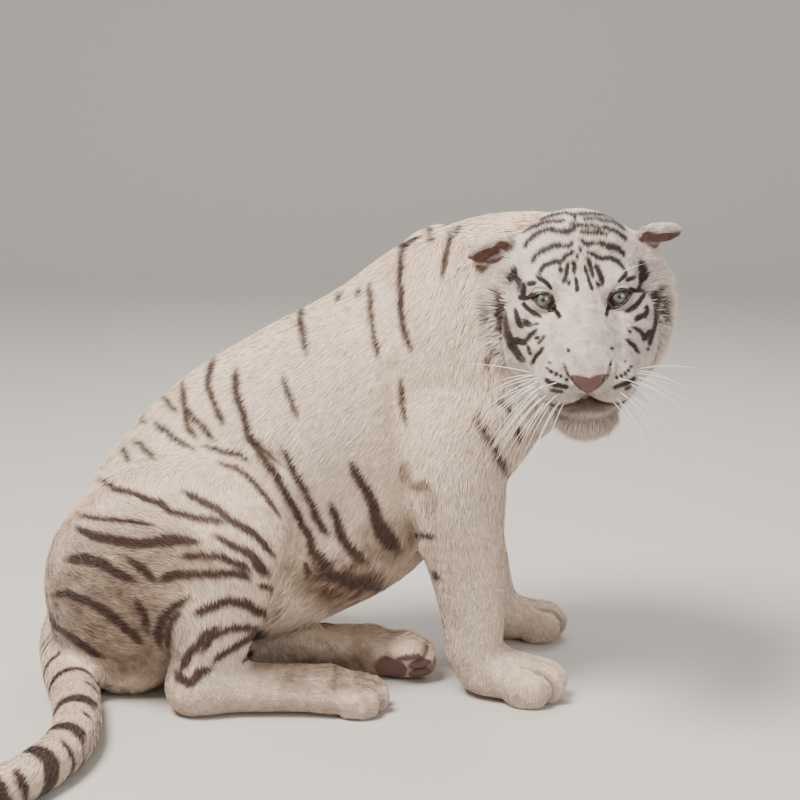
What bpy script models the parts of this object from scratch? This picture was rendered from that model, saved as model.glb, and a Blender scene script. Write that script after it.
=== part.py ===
"""A white tigress, life size, sitting with her forelegs upright and her head turned to her right.

Metres, +Z up. Her body points along +X, she looks along -Y, and the floor is z = 0.
The flesh is one smooth form: masses and tapering limbs blended into each other as
signed distances, so that shoulder runs into leg and cheek into neck. Its surface is meshed
and then parted by thin flat cuts into the head, neck, trunk, legs and lengths of the tail.
The surface stands where the tips of the coat are. The origin is the middle of the
bounding box at floor level.
"""

import bmesh
import bpy
import numpy as np
import openvdb
from mathutils import Matrix, Vector

GAP = 0.0003                 # between neighbouring solids
HEAD_STEP = 0.0055           # mesh spacing before it is thinned out
BODY_STEP = 0.0095
HEAD_TRIANGLES = 2700
BODY_TRIANGLES = 3500
FAR = 9.0                    # a distance larger than the animal

ACROSS = (0, 1, 0)           # the side-to-side direction of her body

# Head: placed by the point midway between the eyes, with right, forward and up axes of its own.
EYES_MIDDLE = (0.289, -0.270, 0.734)
FACE_FORWARD = (-0.030, -0.997, -0.073)
FACE_UP = (-0.049, -0.070, 0.996)
EYE_APART = 0.0605           # from the midline to the middle of an eye
EYE_RADIUS = 0.0180
EYE_DEPTH = 0.0035           # the eyeball's middle, forward of EYES_MIDDLE

# Stations of a limb: x, y, z, half width across, half depth, in order along it.
TRUNK = [
    (-0.50, 0.00, 0.170, 0.130, 0.135),   # rump
    (-0.40, 0.00, 0.290, 0.160, 0.168),   # hips
    (-0.27, 0.00, 0.375, 0.172, 0.208),   # loin
    (-0.145, 0.00, 0.445, 0.176, 0.216),
    (-0.040, 0.00, 0.505, 0.168, 0.212),  # ribs
    (0.055, 0.00, 0.565, 0.155, 0.208),
    (0.150, 0.00, 0.610, 0.142, 0.195),   # chest
]
BELLY = [
    (-0.34, 0.00, 0.205, 0.150, 0.140),   # groin
    (-0.24, 0.00, 0.225, 0.150, 0.145),
    (-0.14, 0.00, 0.268, 0.147, 0.142),   # loose fold
    (-0.05, 0.00, 0.322, 0.134, 0.140),
    (0.05, 0.00, 0.432, 0.125, 0.122),    # breastbone
]
BELLY_FOLD = ((-0.100, -0.020, 0.228), (0.082, 0.125, 0.064))   # loose skin before the thigh
NECK = [
    (0.100, 0.000, 0.650, 0.150, 0.158),  # withers
    (0.190, -0.010, 0.690, 0.140, 0.152),
    (0.262, -0.050, 0.702, 0.132, 0.145),
    (0.300, -0.120, 0.712, 0.120, 0.132),  # nape
]
RIGHT_FORELEG = [
    (0.075, -0.085, 0.735, 0.040, 0.075),  # shoulder blade
    (0.125, -0.115, 0.645, 0.055, 0.100),
    (0.155, -0.130, 0.540, 0.068, 0.100),  # point of the shoulder
    (0.100, -0.140, 0.450, 0.072, 0.100),
    (0.095, -0.140, 0.370, 0.066, 0.088),  # elbow
    (0.112, -0.130, 0.260, 0.055, 0.070),
    (0.126, -0.115, 0.160, 0.052, 0.060),
    (0.130, -0.105, 0.100, 0.052, 0.056),  # wrist
    (0.145, -0.100, 0.060, 0.052, 0.050),
]
LEFT_FORELEG = [
    (0.075, 0.085, 0.735, 0.040, 0.075),
    (0.125, 0.115, 0.645, 0.055, 0.100),
    (0.150, 0.130, 0.540, 0.068, 0.095),
    (0.105, 0.145, 0.450, 0.072, 0.092),
    (0.105, 0.150, 0.370, 0.064, 0.078),
    (0.130, 0.165, 0.260, 0.053, 0.062),
    (0.155, 0.180, 0.160, 0.050, 0.054),
    (0.170, 0.188, 0.100, 0.050, 0.050),
    (0.185, 0.192, 0.060, 0.050, 0.048),
]
RIGHT_THIGH = [
    (-0.470, -0.090, 0.220, 0.110, 0.150),  # hip
    (-0.380, -0.150, 0.280, 0.100, 0.165),
    (-0.285, -0.195, 0.300, 0.075, 0.095),  # knee
]
RIGHT_SHANK = [
    (-0.275, -0.200, 0.290, 0.070, 0.072),
    (-0.300, -0.200, 0.190, 0.060, 0.070),
    (-0.335, -0.190, 0.090, 0.050, 0.055),
    (-0.350, -0.188, 0.050, 0.046, 0.044),  # hock
]
RIGHT_HIND_FOOT = [
    (-0.350, -0.188, 0.043, 0.044, 0.044),
    (-0.230, -0.186, 0.043, 0.044, 0.043),
    (-0.130, -0.183, 0.041, 0.050, 0.040),
]
LEFT_THIGH = [
    (-0.470, 0.090, 0.180, 0.110, 0.140),
    (-0.350, 0.160, 0.170, 0.100, 0.130),
    (-0.210, 0.205, 0.130, 0.075, 0.090),   # knee, let out sideways
]
LEFT_SHANK = [
    (-0.200, 0.200, 0.110, 0.065, 0.070),
    (-0.240, 0.110, 0.080, 0.055, 0.060),
    (-0.270, 0.040, 0.055, 0.045, 0.048),   # hock, under the belly
]
LEFT_HIND_FOOT = [
    (-0.265, 0.035, 0.048, 0.044, 0.046),
    (-0.150, 0.005, 0.047, 0.038, 0.044),
    (-0.060, -0.010, 0.048, 0.036, 0.049),
]
TAIL = [
    (-0.555, 0.020, 0.150, 0.055, 0.055),   # root, under the rump
    (-0.603, -0.010, 0.083, 0.049, 0.049),
    (-0.588, -0.100, 0.045, 0.047, 0.047),
    (-0.551, -0.235, 0.041, 0.043, 0.043),
    (-0.528, -0.370, 0.039, 0.041, 0.041),
    (-0.543, -0.480, 0.037, 0.039, 0.039),
    (-0.598, -0.580, 0.035, 0.037, 0.037),
    (-0.690, -0.650, 0.034, 0.036, 0.036),
    (-0.800, -0.680, 0.029, 0.031, 0.031),  # tip
]

# Masses of the head: centre and radii right, forward and up, blend width and
# backward tilt in degrees. Each is mirrored onto the other side of the face.
HEAD_MASSES = [
    ((0.000, -0.120, 0.018), (0.106, 0.110, 0.104), 0.010, 0),    # cranium
    ((0.018, -0.058, 0.026), (0.078, 0.085, 0.046), 0.030, -36),  # forehead
    ((0.058, -0.010, 0.018), (0.035, 0.025, 0.020), 0.025, 0),    # brow
    ((0.080, -0.030, -0.040), (0.042, 0.056, 0.045), 0.030, 0),   # cheekbone
    ((0.080, -0.075, -0.082), (0.058, 0.080, 0.082), 0.030, 0),   # jaw muscle
    ((0.104, -0.118, -0.048), (0.058, 0.055, 0.122), 0.035, 0),   # ruff
    ((0.056, 0.012, -0.085), (0.042, 0.060, 0.055), 0.030, 0),    # cheek
    ((0.000, 0.040, -0.088), (0.073, 0.085, 0.060), 0.025, 0),    # muzzle
    ((0.040, 0.088, -0.113), (0.041, 0.055, 0.040), 0.018, 0),    # whisker pad
    ((0.000, 0.136, -0.096), (0.031, 0.021, 0.023), 0.010, 0),    # nose
    ((0.000, 0.080, -0.167), (0.049, 0.050, 0.034), 0.012, 0),    # chin
]
NOSE_BRIDGE = [
    (0.0, -0.030, -0.003, 0.058, 0.046),
    (0.0, 0.040, -0.038, 0.049, 0.038),
    (0.0, 0.122, -0.082, 0.040, 0.030),
]
LOWER_JAW = [
    (0.000, 0.050, -0.155, 0.052, 0.038),
    (0.045, -0.030, -0.145, 0.050, 0.045),
    (0.055, -0.120, -0.110, 0.050, 0.060),
]
EYE_SOCKET = ((EYE_APART, 0.035, -0.003), (0.022, 0.024, 0.017), 0.012)

# Each ear: root, direction it is laid out, and the way its hollow faces, in the head's axes.
EARS = {
    "right": ((0.104, -0.090, 0.080), (0.82, -0.40, -0.36), (0.10, 0.56, -0.80)),
    "left": ((-0.098, -0.090, 0.079), (-0.87, -0.44, -0.03), (-0.10, 0.60, -0.76)),
}
EAR_CENTRE_ALONG = 0.041
EAR_SEAM = 0.018              # how far out along the ear its own solid starts
EAR_RADII = (0.025, 0.045, 0.0155)     # half width, half length, half thickness

# Toes: right, forward as a share of the paw's reach, and up, for a paw of size 1.
TOES = [(-0.039, 0.70, -0.022), (-0.0140, 0.89, -0.017), (0.0140, 0.91, -0.017), (0.039, 0.74, -0.022)]
TOE_RADII = (0.0215, 0.036, 0.031)
TOE_BLEND = 0.012
# Paws: wrist, heading, up, size and reach.
PAWS = {
    "fore_right": ((0.135, -0.095, 0.052), (0.95, -0.30, 0), (0, 0, 1), 1.14, 0.136),
    "fore_left": ((0.175, 0.195, 0.050), (0.98, 0.10, 0), (0, 0, 1), 1.08, 0.120),
    "hind_right": ((-0.150, -0.182, 0.045), (0.995, 0.02, 0), (0, 0, 1), 1.02, 0.105),
    "hind_left": ((-0.070, -0.005, 0.052), (0.99, -0.16, 0), (0.1, 0.80, 0.52), 1.02, 0.115),
}

COAT_CREAM = (0.80, 0.74, 0.66, 1.0)
COAT_DUSTY = (0.60, 0.52, 0.43, 1.0)
COAT_WHITE = (0.86, 0.82, 0.77, 1.0)
EYE_BLUE = (0.42, 0.50, 0.53, 1.0)


def smooth_union(a, b, width):
    """Two distances joined, with a fillet of about this width where they meet."""
    mix = np.maximum(width - np.abs(a - b), 0) / width
    return np.minimum(a, b) - mix * mix * width / 4


def smooth_cut(a, b, width):
    """The first distance with the second taken away, its rim rounded."""
    return -smooth_union(-a, b, width)


def length(rows):
    return np.sqrt(np.einsum("ij,ij->i", rows, rows))


def near_only(points, low, high, shape, reach=0.09):
    """A shape worked out only near its own box; farther off, the distance to the box stands in."""
    gap = length(np.maximum(np.maximum(low - points, points - high), 0))
    distance = gap + 0.02
    near = gap < reach
    if near.any():
        distance[near] = shape(points[near])
    return distance


def ellipse_distance(scaled, scaled_twice):
    return scaled * (scaled - 1) / np.maximum(scaled_twice, 1e-6)


def ellipsoid(points, centre, radii, axes=None):
    """Signed distance to an ellipsoid, turned by a matrix with its axes as columns."""
    centre = np.array(centre)
    radii = np.array(radii)

    def shape(near):
        local = near - centre
        if axes is not None:
            local = local @ axes
        return ellipse_distance(length(local / radii), length(local / radii**2))

    return near_only(points, centre - radii.max(), centre + radii.max(), shape)


def smooth_rows(stations, steps):
    """Stations with more between them, along a Catmull-Rom curve."""
    rows = np.array(stations, float)
    padded = np.vstack([2 * rows[0] - rows[1], rows, 2 * rows[-1] - rows[-2]])
    out = []
    for a, b, c, d in zip(padded, padded[1:], padded[2:], padded[3:]):
        for t in np.arange(steps) / steps:
            linear = 2 * b + (c - a) * t
            curved = (2 * a - 5 * b + 4 * c - d) * t**2 + (3 * b - a - 3 * c + d) * t**3
            out.append(0.5 * (linear + curved))
    out.append(rows[-1])
    return np.array(out)


def limb(points, stations, across=None, steps=5):
    """Signed distance to a tapering limb with oval sections, or round ones where across is None."""
    rows = smooth_rows(stations, steps)
    reach = rows[:, 3:].max()

    def shape(near):
        best = np.full(len(near), FAR)
        for a, b in zip(rows, rows[1:]):
            axis = b[:3] - a[:3]
            t = np.clip((near - a[:3]) @ (axis / (axis @ axis)), 0, 1)
            off = near - a[:3] - t[:, None] * axis
            wide = a[3] + t * (b[3] - a[3])
            if across is None:
                distance = length(off) - wide
            else:
                deep = a[4] + t * (b[4] - a[4])
                u = off @ across
                v = np.sqrt(np.maximum(np.einsum("ij,ij->i", off, off) - u * u, 0))
                distance = ellipse_distance(np.hypot(u / wide, v / deep), np.hypot(u / wide**2, v / deep**2))
            best = np.minimum(best, distance)
        return best

    return near_only(points, rows[:, :3].min(0) - reach, rows[:, :3].max(0) + reach, shape)


def axes_of(forward, up):
    """A matrix whose columns point right, forward and up."""
    forward = np.array(forward, float) / np.linalg.norm(forward)
    up = np.array(up, float) - forward * (forward @ np.array(up, float))
    up /= np.linalg.norm(up)
    return np.column_stack([np.cross(forward, up), forward, up])


HEAD_AXES = axes_of(FACE_FORWARD, FACE_UP)


def in_head(points):
    return (points - np.array(EYES_MIDDLE)) @ HEAD_AXES


def from_head(local):
    return np.array(EYES_MIDDLE) + HEAD_AXES @ np.array(local, float)


def tilt_axes(degrees):
    """Axes leant back about the side-to-side one."""
    return np.array(Matrix.Rotation(np.radians(degrees), 3, "X"))


def head(points):
    """The head without its ears, down to the ruff."""
    local = in_head(points)
    local[:, 0] = np.abs(local[:, 0])
    distance = np.full(len(local), FAR)
    for centre, radii, blend, tilt in HEAD_MASSES:
        mass = ellipsoid(local, centre, radii, tilt_axes(tilt))
        distance = smooth_union(distance, mass, blend)
    distance = smooth_union(distance, limb(local, NOSE_BRIDGE, (1, 0, 0)), 0.015)
    distance = smooth_union(distance, limb(local, LOWER_JAW, (1, 0, 0)), 0.025)
    centre, radii, blend = EYE_SOCKET
    return smooth_cut(distance, ellipsoid(local, centre, radii), blend)


def ear(points, side):
    """A round ear laid flat sideways, hollow on one face."""
    root, along, hollow_faces = EARS[side]
    axes = axes_of(along, -np.array(hollow_faces))
    local = (in_head(points) - np.array(root)) @ axes
    wide, long, thick = EAR_RADII
    shell = ellipsoid(local, (0, EAR_CENTRE_ALONG, 0), EAR_RADII)
    hollow = ellipsoid(local, (0, EAR_CENTRE_ALONG, -thick), (0.8 * wide, 0.85 * long, 0.9 * thick))
    return smooth_cut(shell, hollow, 0.004)


def paw(points, name):
    """A paw with four toes, the two middle ones foremost."""
    wrist, heading, up, size, reach = PAWS[name]
    local = (points - np.array(wrist)) @ axes_of(heading, up)
    distance = ellipsoid(local, (0, 0.45 * reach, -0.012 * size), (0.050 * size, 0.62 * reach, 0.036 * size))
    for right, forward, lift in TOES:
        toe = ellipsoid(local, (right * size, forward * reach, lift * size), np.array(TOE_RADII) * size)
        distance = smooth_union(distance, toe, TOE_BLEND)
    return distance


def joined(points, limbs, blend):
    """Limbs run into each other."""
    distance = limb(points, limbs[0], ACROSS)
    for stations in limbs[1:]:
        distance = smooth_union(distance, limb(points, stations, ACROSS), blend)
    return distance


def right_foreleg(points):
    return smooth_union(limb(points, RIGHT_FORELEG, ACROSS), paw(points, "fore_right"), 0.03)


def left_foreleg(points):
    return smooth_union(limb(points, LEFT_FORELEG, ACROSS), paw(points, "fore_left"), 0.03)


def right_hind_leg(points):
    leg = joined(points, [RIGHT_THIGH, RIGHT_SHANK, RIGHT_HIND_FOOT], 0.045)
    return smooth_union(leg, paw(points, "hind_right"), 0.02)


def left_hind_leg(points):
    """Folded flat, with the sole turned towards the right side."""
    leg = smooth_union(limb(points, LEFT_THIGH, ACROSS), limb(points, LEFT_SHANK, (1, 0, 0)), 0.04)
    leg = smooth_union(leg, limb(points, LEFT_HIND_FOOT, ACROSS), 0.03)
    return smooth_union(leg, paw(points, "hind_left"), 0.02)


def buttock(points, side):
    return ellipsoid(points, (-0.488, 0.085 * side, 0.155), (0.125, 0.095, 0.165))


def tiger(points):
    """Signed distance to the whole animal, the eyes left out."""
    distance = limb(points, TRUNK, ACROSS, steps=10)
    distance = smooth_union(distance, limb(points, BELLY, ACROSS), 0.04)
    distance = smooth_union(distance, ellipsoid(points, *BELLY_FOLD), 0.03)
    distance = smooth_union(distance, limb(points, NECK, (0.24, 0.97, 0)), 0.06)
    distance = smooth_union(distance, head(points), 0.035)
    for leg in (right_foreleg, left_foreleg, right_hind_leg, left_hind_leg):
        distance = smooth_union(distance, leg(points), 0.045)
    for side in (-1, 1):
        distance = smooth_union(distance, buttock(points, side), 0.04)
    distance = smooth_union(distance, limb(points, TAIL), 0.03)
    for side in EARS:
        distance = smooth_union(distance, ear(points, side), 0.012)
    return distance


def grid_of_distances(shape, low, high, step, levels=3):
    """Distances on a grid: found coarsely, then refined level by level near the surface only."""
    coarse = step * 2**levels
    counts = np.ceil((np.array(high) - low) / coarse).astype(int) + 1
    lines = [low[axis] + coarse * np.arange(counts[axis]) for axis in range(3)]
    corners = np.stack(np.meshgrid(*lines, indexing="ij"), -1).reshape(-1, 3)
    values = shape(corners).reshape(counts)
    for level in range(levels):
        size = coarse / 2**level
        for axis in range(3):
            values = np.moveaxis(values, axis, 0)
            finer = np.empty((2 * len(values) - 1, *values.shape[1:]))
            finer[::2] = values
            finer[1::2] = (values[:-1] + values[1:]) / 2
            values = np.moveaxis(finer, 0, axis)
        values = np.ascontiguousarray(values)
        near = np.argwhere(np.abs(values) < 1.9 * size)
        values[tuple(near.T)] = shape(near * (size / 2) + np.array(low))
    return values


def surface_mesh(name, shape, low, high, step, triangles):
    """The surface of a shape as a closed mesh thinned to about this many triangles."""
    grid = openvdb.FloatGrid(background=FAR)
    grid.copyFromArray(grid_of_distances(shape, low, high, step).astype(np.float32))
    points, quads = grid.convertToQuads(isovalue=0.0)
    mesh = bpy.data.meshes.new(name)
    mesh.from_pydata((points * step + np.array(low)).tolist(), [], quads.tolist())
    piece = bpy.data.objects.new(name, mesh)
    bpy.context.scene.collection.objects.link(piece)
    thin = piece.modifiers.new("thin", "DECIMATE")
    thin.ratio = triangles / (2 * len(quads))
    return applied(piece)


def applied(piece):
    """A new mesh with the object's modifiers applied; the object goes."""
    mesh = bpy.data.meshes.new_from_object(piece.evaluated_get(bpy.context.evaluated_depsgraph_get()))
    bpy.data.objects.remove(piece)
    return mesh


def block(low, high, axes=None, origin=(0, 0, 0)):
    """A box between two corners, given in axes of its own at an origin."""
    low = Vector(low)
    high = Vector(high)
    form = bmesh.new()
    bmesh.ops.create_cube(form, size=1)
    bmesh.ops.scale(form, vec=high - low, verts=form.verts)
    bmesh.ops.translate(form, vec=(low + high) / 2, verts=form.verts)
    if axes is not None:
        bmesh.ops.rotate(form, matrix=Matrix(axes.tolist()), verts=form.verts)
    bmesh.ops.translate(form, vec=origin, verts=form.verts)
    mesh = bpy.data.meshes.new("block")
    form.to_mesh(mesh)
    form.free()
    return mesh


def ball(centre, radius, segments, rings):
    form = bmesh.new()
    bmesh.ops.create_uvsphere(form, u_segments=segments, v_segments=rings, radius=radius)
    bmesh.ops.translate(form, vec=centre, verts=form.verts)
    mesh = bpy.data.meshes.new("ball")
    form.to_mesh(mesh)
    form.free()
    return mesh


def boolean(mesh, tool_mesh, operation):
    piece = bpy.data.objects.new("piece", mesh)
    tool = bpy.data.objects.new("tool", tool_mesh)
    for item in (piece, tool):
        bpy.context.scene.collection.objects.link(item)
    modifier = piece.modifiers.new("cut", "BOOLEAN")
    modifier.operation = operation
    modifier.object = tool
    result = applied(piece)
    bpy.data.objects.remove(tool)
    return result


def largest_body(mesh):
    """The mesh with any loose crumb that a cut left behind taken away."""
    form = bmesh.new()
    form.from_mesh(mesh)
    unseen = set(form.verts)
    bodies = []
    while unseen:
        body = {unseen.pop()}
        edge = list(body)
        while edge:
            vertex = edge.pop()
            for link in vertex.link_edges:
                other = link.other_vert(vertex)
                if other in unseen:
                    unseen.remove(other)
                    body.add(other)
                    edge.append(other)
        bodies.append(body)
    keep = max(bodies, key=len)
    bmesh.ops.delete(form, geom=[vertex for vertex in form.verts if vertex not in keep], context="VERTS")
    form.to_mesh(mesh)
    form.free()
    return mesh


class BoxRegion:
    """A box of space whose flesh becomes one named solid."""

    def __init__(self, name, low, high, axes=None, origin=(0, 0, 0)):
        self.name = name
        self.low = Vector(low)
        self.high = Vector(high)
        self.axes = axes
        self.origin = origin

    def grown(self, by):
        edge = Vector((by, by, by))
        return block(self.low - edge, self.high + edge, self.axes, self.origin)


class EggRegion:
    """The same for an ellipsoid, which parts the head along a curved seam."""

    def __init__(self, name, centre, radii, axes, origin):
        self.name = name
        self.centre = Vector(centre)
        self.radii = Vector(radii)
        self.axes = axes
        self.origin = origin

    def grown(self, by):
        mesh = ball((0, 0, 0), 1.0, 22, 12)
        turn = Matrix(self.axes.tolist()).to_4x4()
        size = Matrix.Diagonal((*(self.radii + Vector((by, by, by))), 1.0))
        place = Matrix.Translation(self.origin) @ turn @ Matrix.Translation(self.centre)
        mesh.transform(place @ size)
        return mesh


def parted(mesh, region):
    """The flesh inside the region, and what is left outside it, a gap apart."""
    inside = largest_body(boolean(mesh.copy(), region.grown(-GAP / 2), "INTERSECT"))
    outside = largest_body(boolean(mesh, region.grown(GAP / 2), "DIFFERENCE"))
    return inside, outside


HEAD_REGION = EggRegion("head", (0.0, 0.0, -0.032), (0.190, 0.205, 0.225), HEAD_AXES, EYES_MIDDLE)


def ear_region(side):
    """From a little way out along the ear to beyond its tip."""
    root, along, hollow_faces = EARS[side]
    axes = HEAD_AXES @ axes_of(along, -np.array(hollow_faces))
    return BoxRegion(f"ear_{side}", (-0.034, EAR_SEAM, -0.026), (0.034, 0.12, 0.026), axes, from_head(root))


NECK_BASE = (0.188, 0.0, 0.620)
NECK_AXES = axes_of((0.93, 0.0, 0.37), (-0.37, 0.0, 0.93))

# In the order they are taken: a region may reach over flesh that an earlier one took.
BODY_REGIONS = [
    BoxRegion("tail_end", (-0.95, -0.80, -0.03), (-0.45, -0.520, 0.12)),
    BoxRegion("tail_middle", (-0.75, -0.60, -0.03), (-0.44, -0.340, 0.13)),
    BoxRegion("tail_fore", (-0.72, -0.50, -0.03), (-0.43, -0.190, 0.12)),
    BoxRegion("tail_root", (-0.71, -0.30, -0.03), (-0.556, 0.090, 0.130)),
    BoxRegion("hind_foot_left", (-0.30, -0.110, -0.04), (0.072, 0.085, 0.100)),
    BoxRegion("hind_foot_right", (-0.43, -0.260, -0.03), (0.05, -0.120, 0.092)),
    BoxRegion("forepaw_right", (0.00, -0.260, -0.05), (0.36, -0.010, 0.095)),
    BoxRegion("forepaw_left", (0.08, 0.080, -0.03), (0.38, 0.300, 0.095)),
    BoxRegion("foreleg_right", (-0.03, -0.270, 0.040), (0.37, -0.062, 0.350)),
    BoxRegion("foreleg_left", (-0.03, 0.072, 0.030), (0.39, 0.310, 0.350)),
    BoxRegion("hind_leg_right", (-0.52, -0.320, 0.040), (-0.17, -0.125, 0.500)),
    BoxRegion("hind_leg_left", (-0.52, 0.115, -0.06), (-0.10, 0.320, 0.420)),
    BoxRegion("neck", (-0.40, 0.0, -0.215), (0.40, 0.40, 0.35), NECK_AXES, NECK_BASE),
]


def flesh_pieces():
    """Named meshes of everything but the eyes."""
    around = np.array([0.30, 0.34, 0.27])
    middle = from_head((0.0, 0.02, -0.01))
    head_low = middle - around
    head_high = middle + around
    head_mesh = surface_mesh("head", tiger, head_low, head_high, HEAD_STEP, HEAD_TRIANGLES)
    rest = surface_mesh("body", tiger, (-0.90, -0.78, -0.05), (0.55, 0.40, 0.92), BODY_STEP, BODY_TRIANGLES)
    pieces = {}
    for side in EARS:
        pieces[f"ear_{side}"], head_mesh = parted(head_mesh, ear_region(side))
    pieces["head"], _ = parted(head_mesh, HEAD_REGION)
    rest = boolean(rest, block((-2, -2, -1), (2, 2, 0)), "DIFFERENCE")   # flat where it lies on the floor
    for region in (ear_region("right"), ear_region("left"), HEAD_REGION):
        _, rest = parted(rest, region)
    for region in BODY_REGIONS:
        pieces[region.name], rest = parted(rest, region)
    pieces["trunk"] = rest
    return pieces


def eye_centres():
    return {
        "eye_right": from_head((EYE_APART, EYE_DEPTH, 0)),
        "eye_left": from_head((-EYE_APART, EYE_DEPTH, 0)),
    }


def principled(name, colour, roughness):
    material = bpy.data.materials.new(name)
    material.use_nodes = True
    shader = material.node_tree.nodes["Principled BSDF"]
    shader.inputs["Base Color"].default_value = colour
    shader.inputs["Roughness"].default_value = roughness
    shader.inputs["Metallic"].default_value = 0.0
    return material


def material_for(name, materials):
    if name.startswith("eye"):
        return materials["eye"]
    if name.startswith(("tail", "hind_leg")):
        return materials["dusty"]
    if name.startswith(("head", "ear")):
        return materials["white"]
    return materials["cream"]


def middle_of_base(meshes):
    corners = [vertex.co for mesh in meshes for vertex in mesh.vertices]
    low = Vector([min(corner[axis] for corner in corners) for axis in range(3)])
    high = Vector([max(corner[axis] for corner in corners) for axis in range(3)])
    return Vector(((low.x + high.x) / 2, (low.y + high.y) / 2, low.z))


def main():
    for item in list(bpy.data.objects):
        bpy.data.objects.remove(item)
    pieces = flesh_pieces()
    for name, centre in eye_centres().items():
        socket = ball(centre, EYE_RADIUS + GAP, 18, 10)
        pieces["head"] = largest_body(boolean(pieces["head"], socket, "DIFFERENCE"))
        pieces[name] = ball(centre, EYE_RADIUS, 18, 10)
    materials = {
        "cream": principled("coat_cream", COAT_CREAM, 0.85),
        "dusty": principled("coat_dusty", COAT_DUSTY, 0.90),
        "white": principled("coat_white", COAT_WHITE, 0.85),
        "eye": principled("eye", EYE_BLUE, 0.08),
    }
    origin = middle_of_base(pieces.values())
    for name, mesh in pieces.items():
        mesh.transform(Matrix.Translation(-origin))
        mesh.materials.clear()
        mesh.materials.append(material_for(name, materials))
        mesh.shade_smooth()
        mesh.set_sharp_from_angle(angle=np.radians(50))
        bpy.context.scene.collection.objects.link(bpy.data.objects.new(name, mesh))


main()
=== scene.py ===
"""The looks of a white tigress who sits with her head turned to her right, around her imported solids.

One skin, a coat's depth inside the solids, carries lids, nose, lips, toes and pads. Over it lie
tufts that follow the flow of the fur and carry the same markings. Shapes are worked out in
her body's own frame, as in the solids' source, and moved into the row frame at the end by
MOVE, which is read from where the eyes are.
"""

import math

import bmesh
import bpy
import numpy as np
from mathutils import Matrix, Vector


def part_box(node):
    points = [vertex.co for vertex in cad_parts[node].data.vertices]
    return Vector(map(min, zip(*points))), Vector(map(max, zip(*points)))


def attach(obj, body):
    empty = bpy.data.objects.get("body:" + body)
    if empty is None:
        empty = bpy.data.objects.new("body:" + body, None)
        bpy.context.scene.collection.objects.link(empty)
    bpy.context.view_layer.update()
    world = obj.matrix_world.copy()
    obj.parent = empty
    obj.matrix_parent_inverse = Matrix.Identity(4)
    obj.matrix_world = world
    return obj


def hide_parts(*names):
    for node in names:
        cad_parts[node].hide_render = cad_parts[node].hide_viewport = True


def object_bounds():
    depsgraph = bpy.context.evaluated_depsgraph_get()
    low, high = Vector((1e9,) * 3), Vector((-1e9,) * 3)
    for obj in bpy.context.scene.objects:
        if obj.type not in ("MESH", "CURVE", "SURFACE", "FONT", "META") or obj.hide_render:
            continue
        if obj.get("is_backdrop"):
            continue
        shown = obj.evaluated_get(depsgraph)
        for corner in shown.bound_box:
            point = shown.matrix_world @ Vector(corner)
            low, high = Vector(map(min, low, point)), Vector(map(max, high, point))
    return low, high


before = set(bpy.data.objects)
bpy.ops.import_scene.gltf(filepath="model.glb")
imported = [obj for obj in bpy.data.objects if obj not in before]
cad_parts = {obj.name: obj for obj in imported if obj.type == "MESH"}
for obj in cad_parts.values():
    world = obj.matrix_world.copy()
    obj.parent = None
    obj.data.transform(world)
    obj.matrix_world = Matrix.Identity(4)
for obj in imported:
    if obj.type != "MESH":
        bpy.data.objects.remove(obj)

import openvdb
from mathutils import Matrix, Vector

CAD_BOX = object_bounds()
F32 = np.float32
FAR = 9.0

# ---------------------------------------------------------------- her proportions, as in the solids

ACROSS = (0, 1, 0)
EYES_MIDDLE = np.array((0.289, -0.27, 0.734))
FACE_FORWARD = (-0.03, -0.997, -0.073)
FACE_UP = (-0.049, -0.07, 0.996)
EYE_APART = 0.0605
EYE_RADIUS = 0.018
EYE_DEPTH = 0.0035
VIEW_POINT = np.array((0.0, -3.12, 1.173))

# Stations of a limb: x, y, z, half width across, half depth, in order along it.
TRUNK = [
    (-0.5, 0, 0.17, 0.13, 0.135),
    (-0.4, 0, 0.29, 0.16, 0.168),
    (-0.27, 0, 0.375, 0.172, 0.208),
    (-0.145, 0, 0.445, 0.176, 0.216),
    (-0.04, 0, 0.505, 0.168, 0.212),
    (0.055, 0, 0.565, 0.155, 0.208),
    (0.15, 0, 0.61, 0.142, 0.195),
]
BELLY = [
    (-0.34, 0, 0.205, 0.15, 0.14),
    (-0.24, 0, 0.225, 0.15, 0.145),
    (-0.14, 0, 0.268, 0.147, 0.142),
    (-0.05, 0, 0.322, 0.134, 0.14),
    (0.05, 0, 0.432, 0.125, 0.122),
]
# The loose fold under her belly: centre and radii.
BELLY_FOLD = ((-0.1, -0.02, 0.228), (0.082, 0.125, 0.064))
NECK = [
    (0.1, 0, 0.65, 0.15, 0.158),
    (0.19, -0.01, 0.69, 0.14, 0.152),
    (0.262, -0.05, 0.702, 0.132, 0.145),
    (0.3, -0.12, 0.712, 0.12, 0.132),
]
RIGHT_FORELEG = [
    (0.075, -0.085, 0.735, 0.04, 0.075),
    (0.125, -0.115, 0.645, 0.055, 0.1),
    (0.155, -0.13, 0.54, 0.068, 0.1),
    (0.1, -0.14, 0.45, 0.072, 0.1),
    (0.095, -0.14, 0.37, 0.066, 0.088),
    (0.112, -0.13, 0.26, 0.055, 0.07),
    (0.126, -0.115, 0.16, 0.052, 0.06),
    (0.13, -0.105, 0.1, 0.052, 0.056),
    (0.145, -0.1, 0.06, 0.052, 0.05),
]
LEFT_FORELEG = [
    (0.075, 0.085, 0.735, 0.04, 0.075),
    (0.125, 0.115, 0.645, 0.055, 0.1),
    (0.15, 0.13, 0.54, 0.068, 0.095),
    (0.105, 0.145, 0.45, 0.072, 0.092),
    (0.105, 0.15, 0.37, 0.064, 0.078),
    (0.13, 0.165, 0.26, 0.053, 0.062),
    (0.155, 0.18, 0.16, 0.05, 0.054),
    (0.17, 0.188, 0.1, 0.05, 0.05),
    (0.185, 0.192, 0.06, 0.05, 0.048),
]
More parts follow.
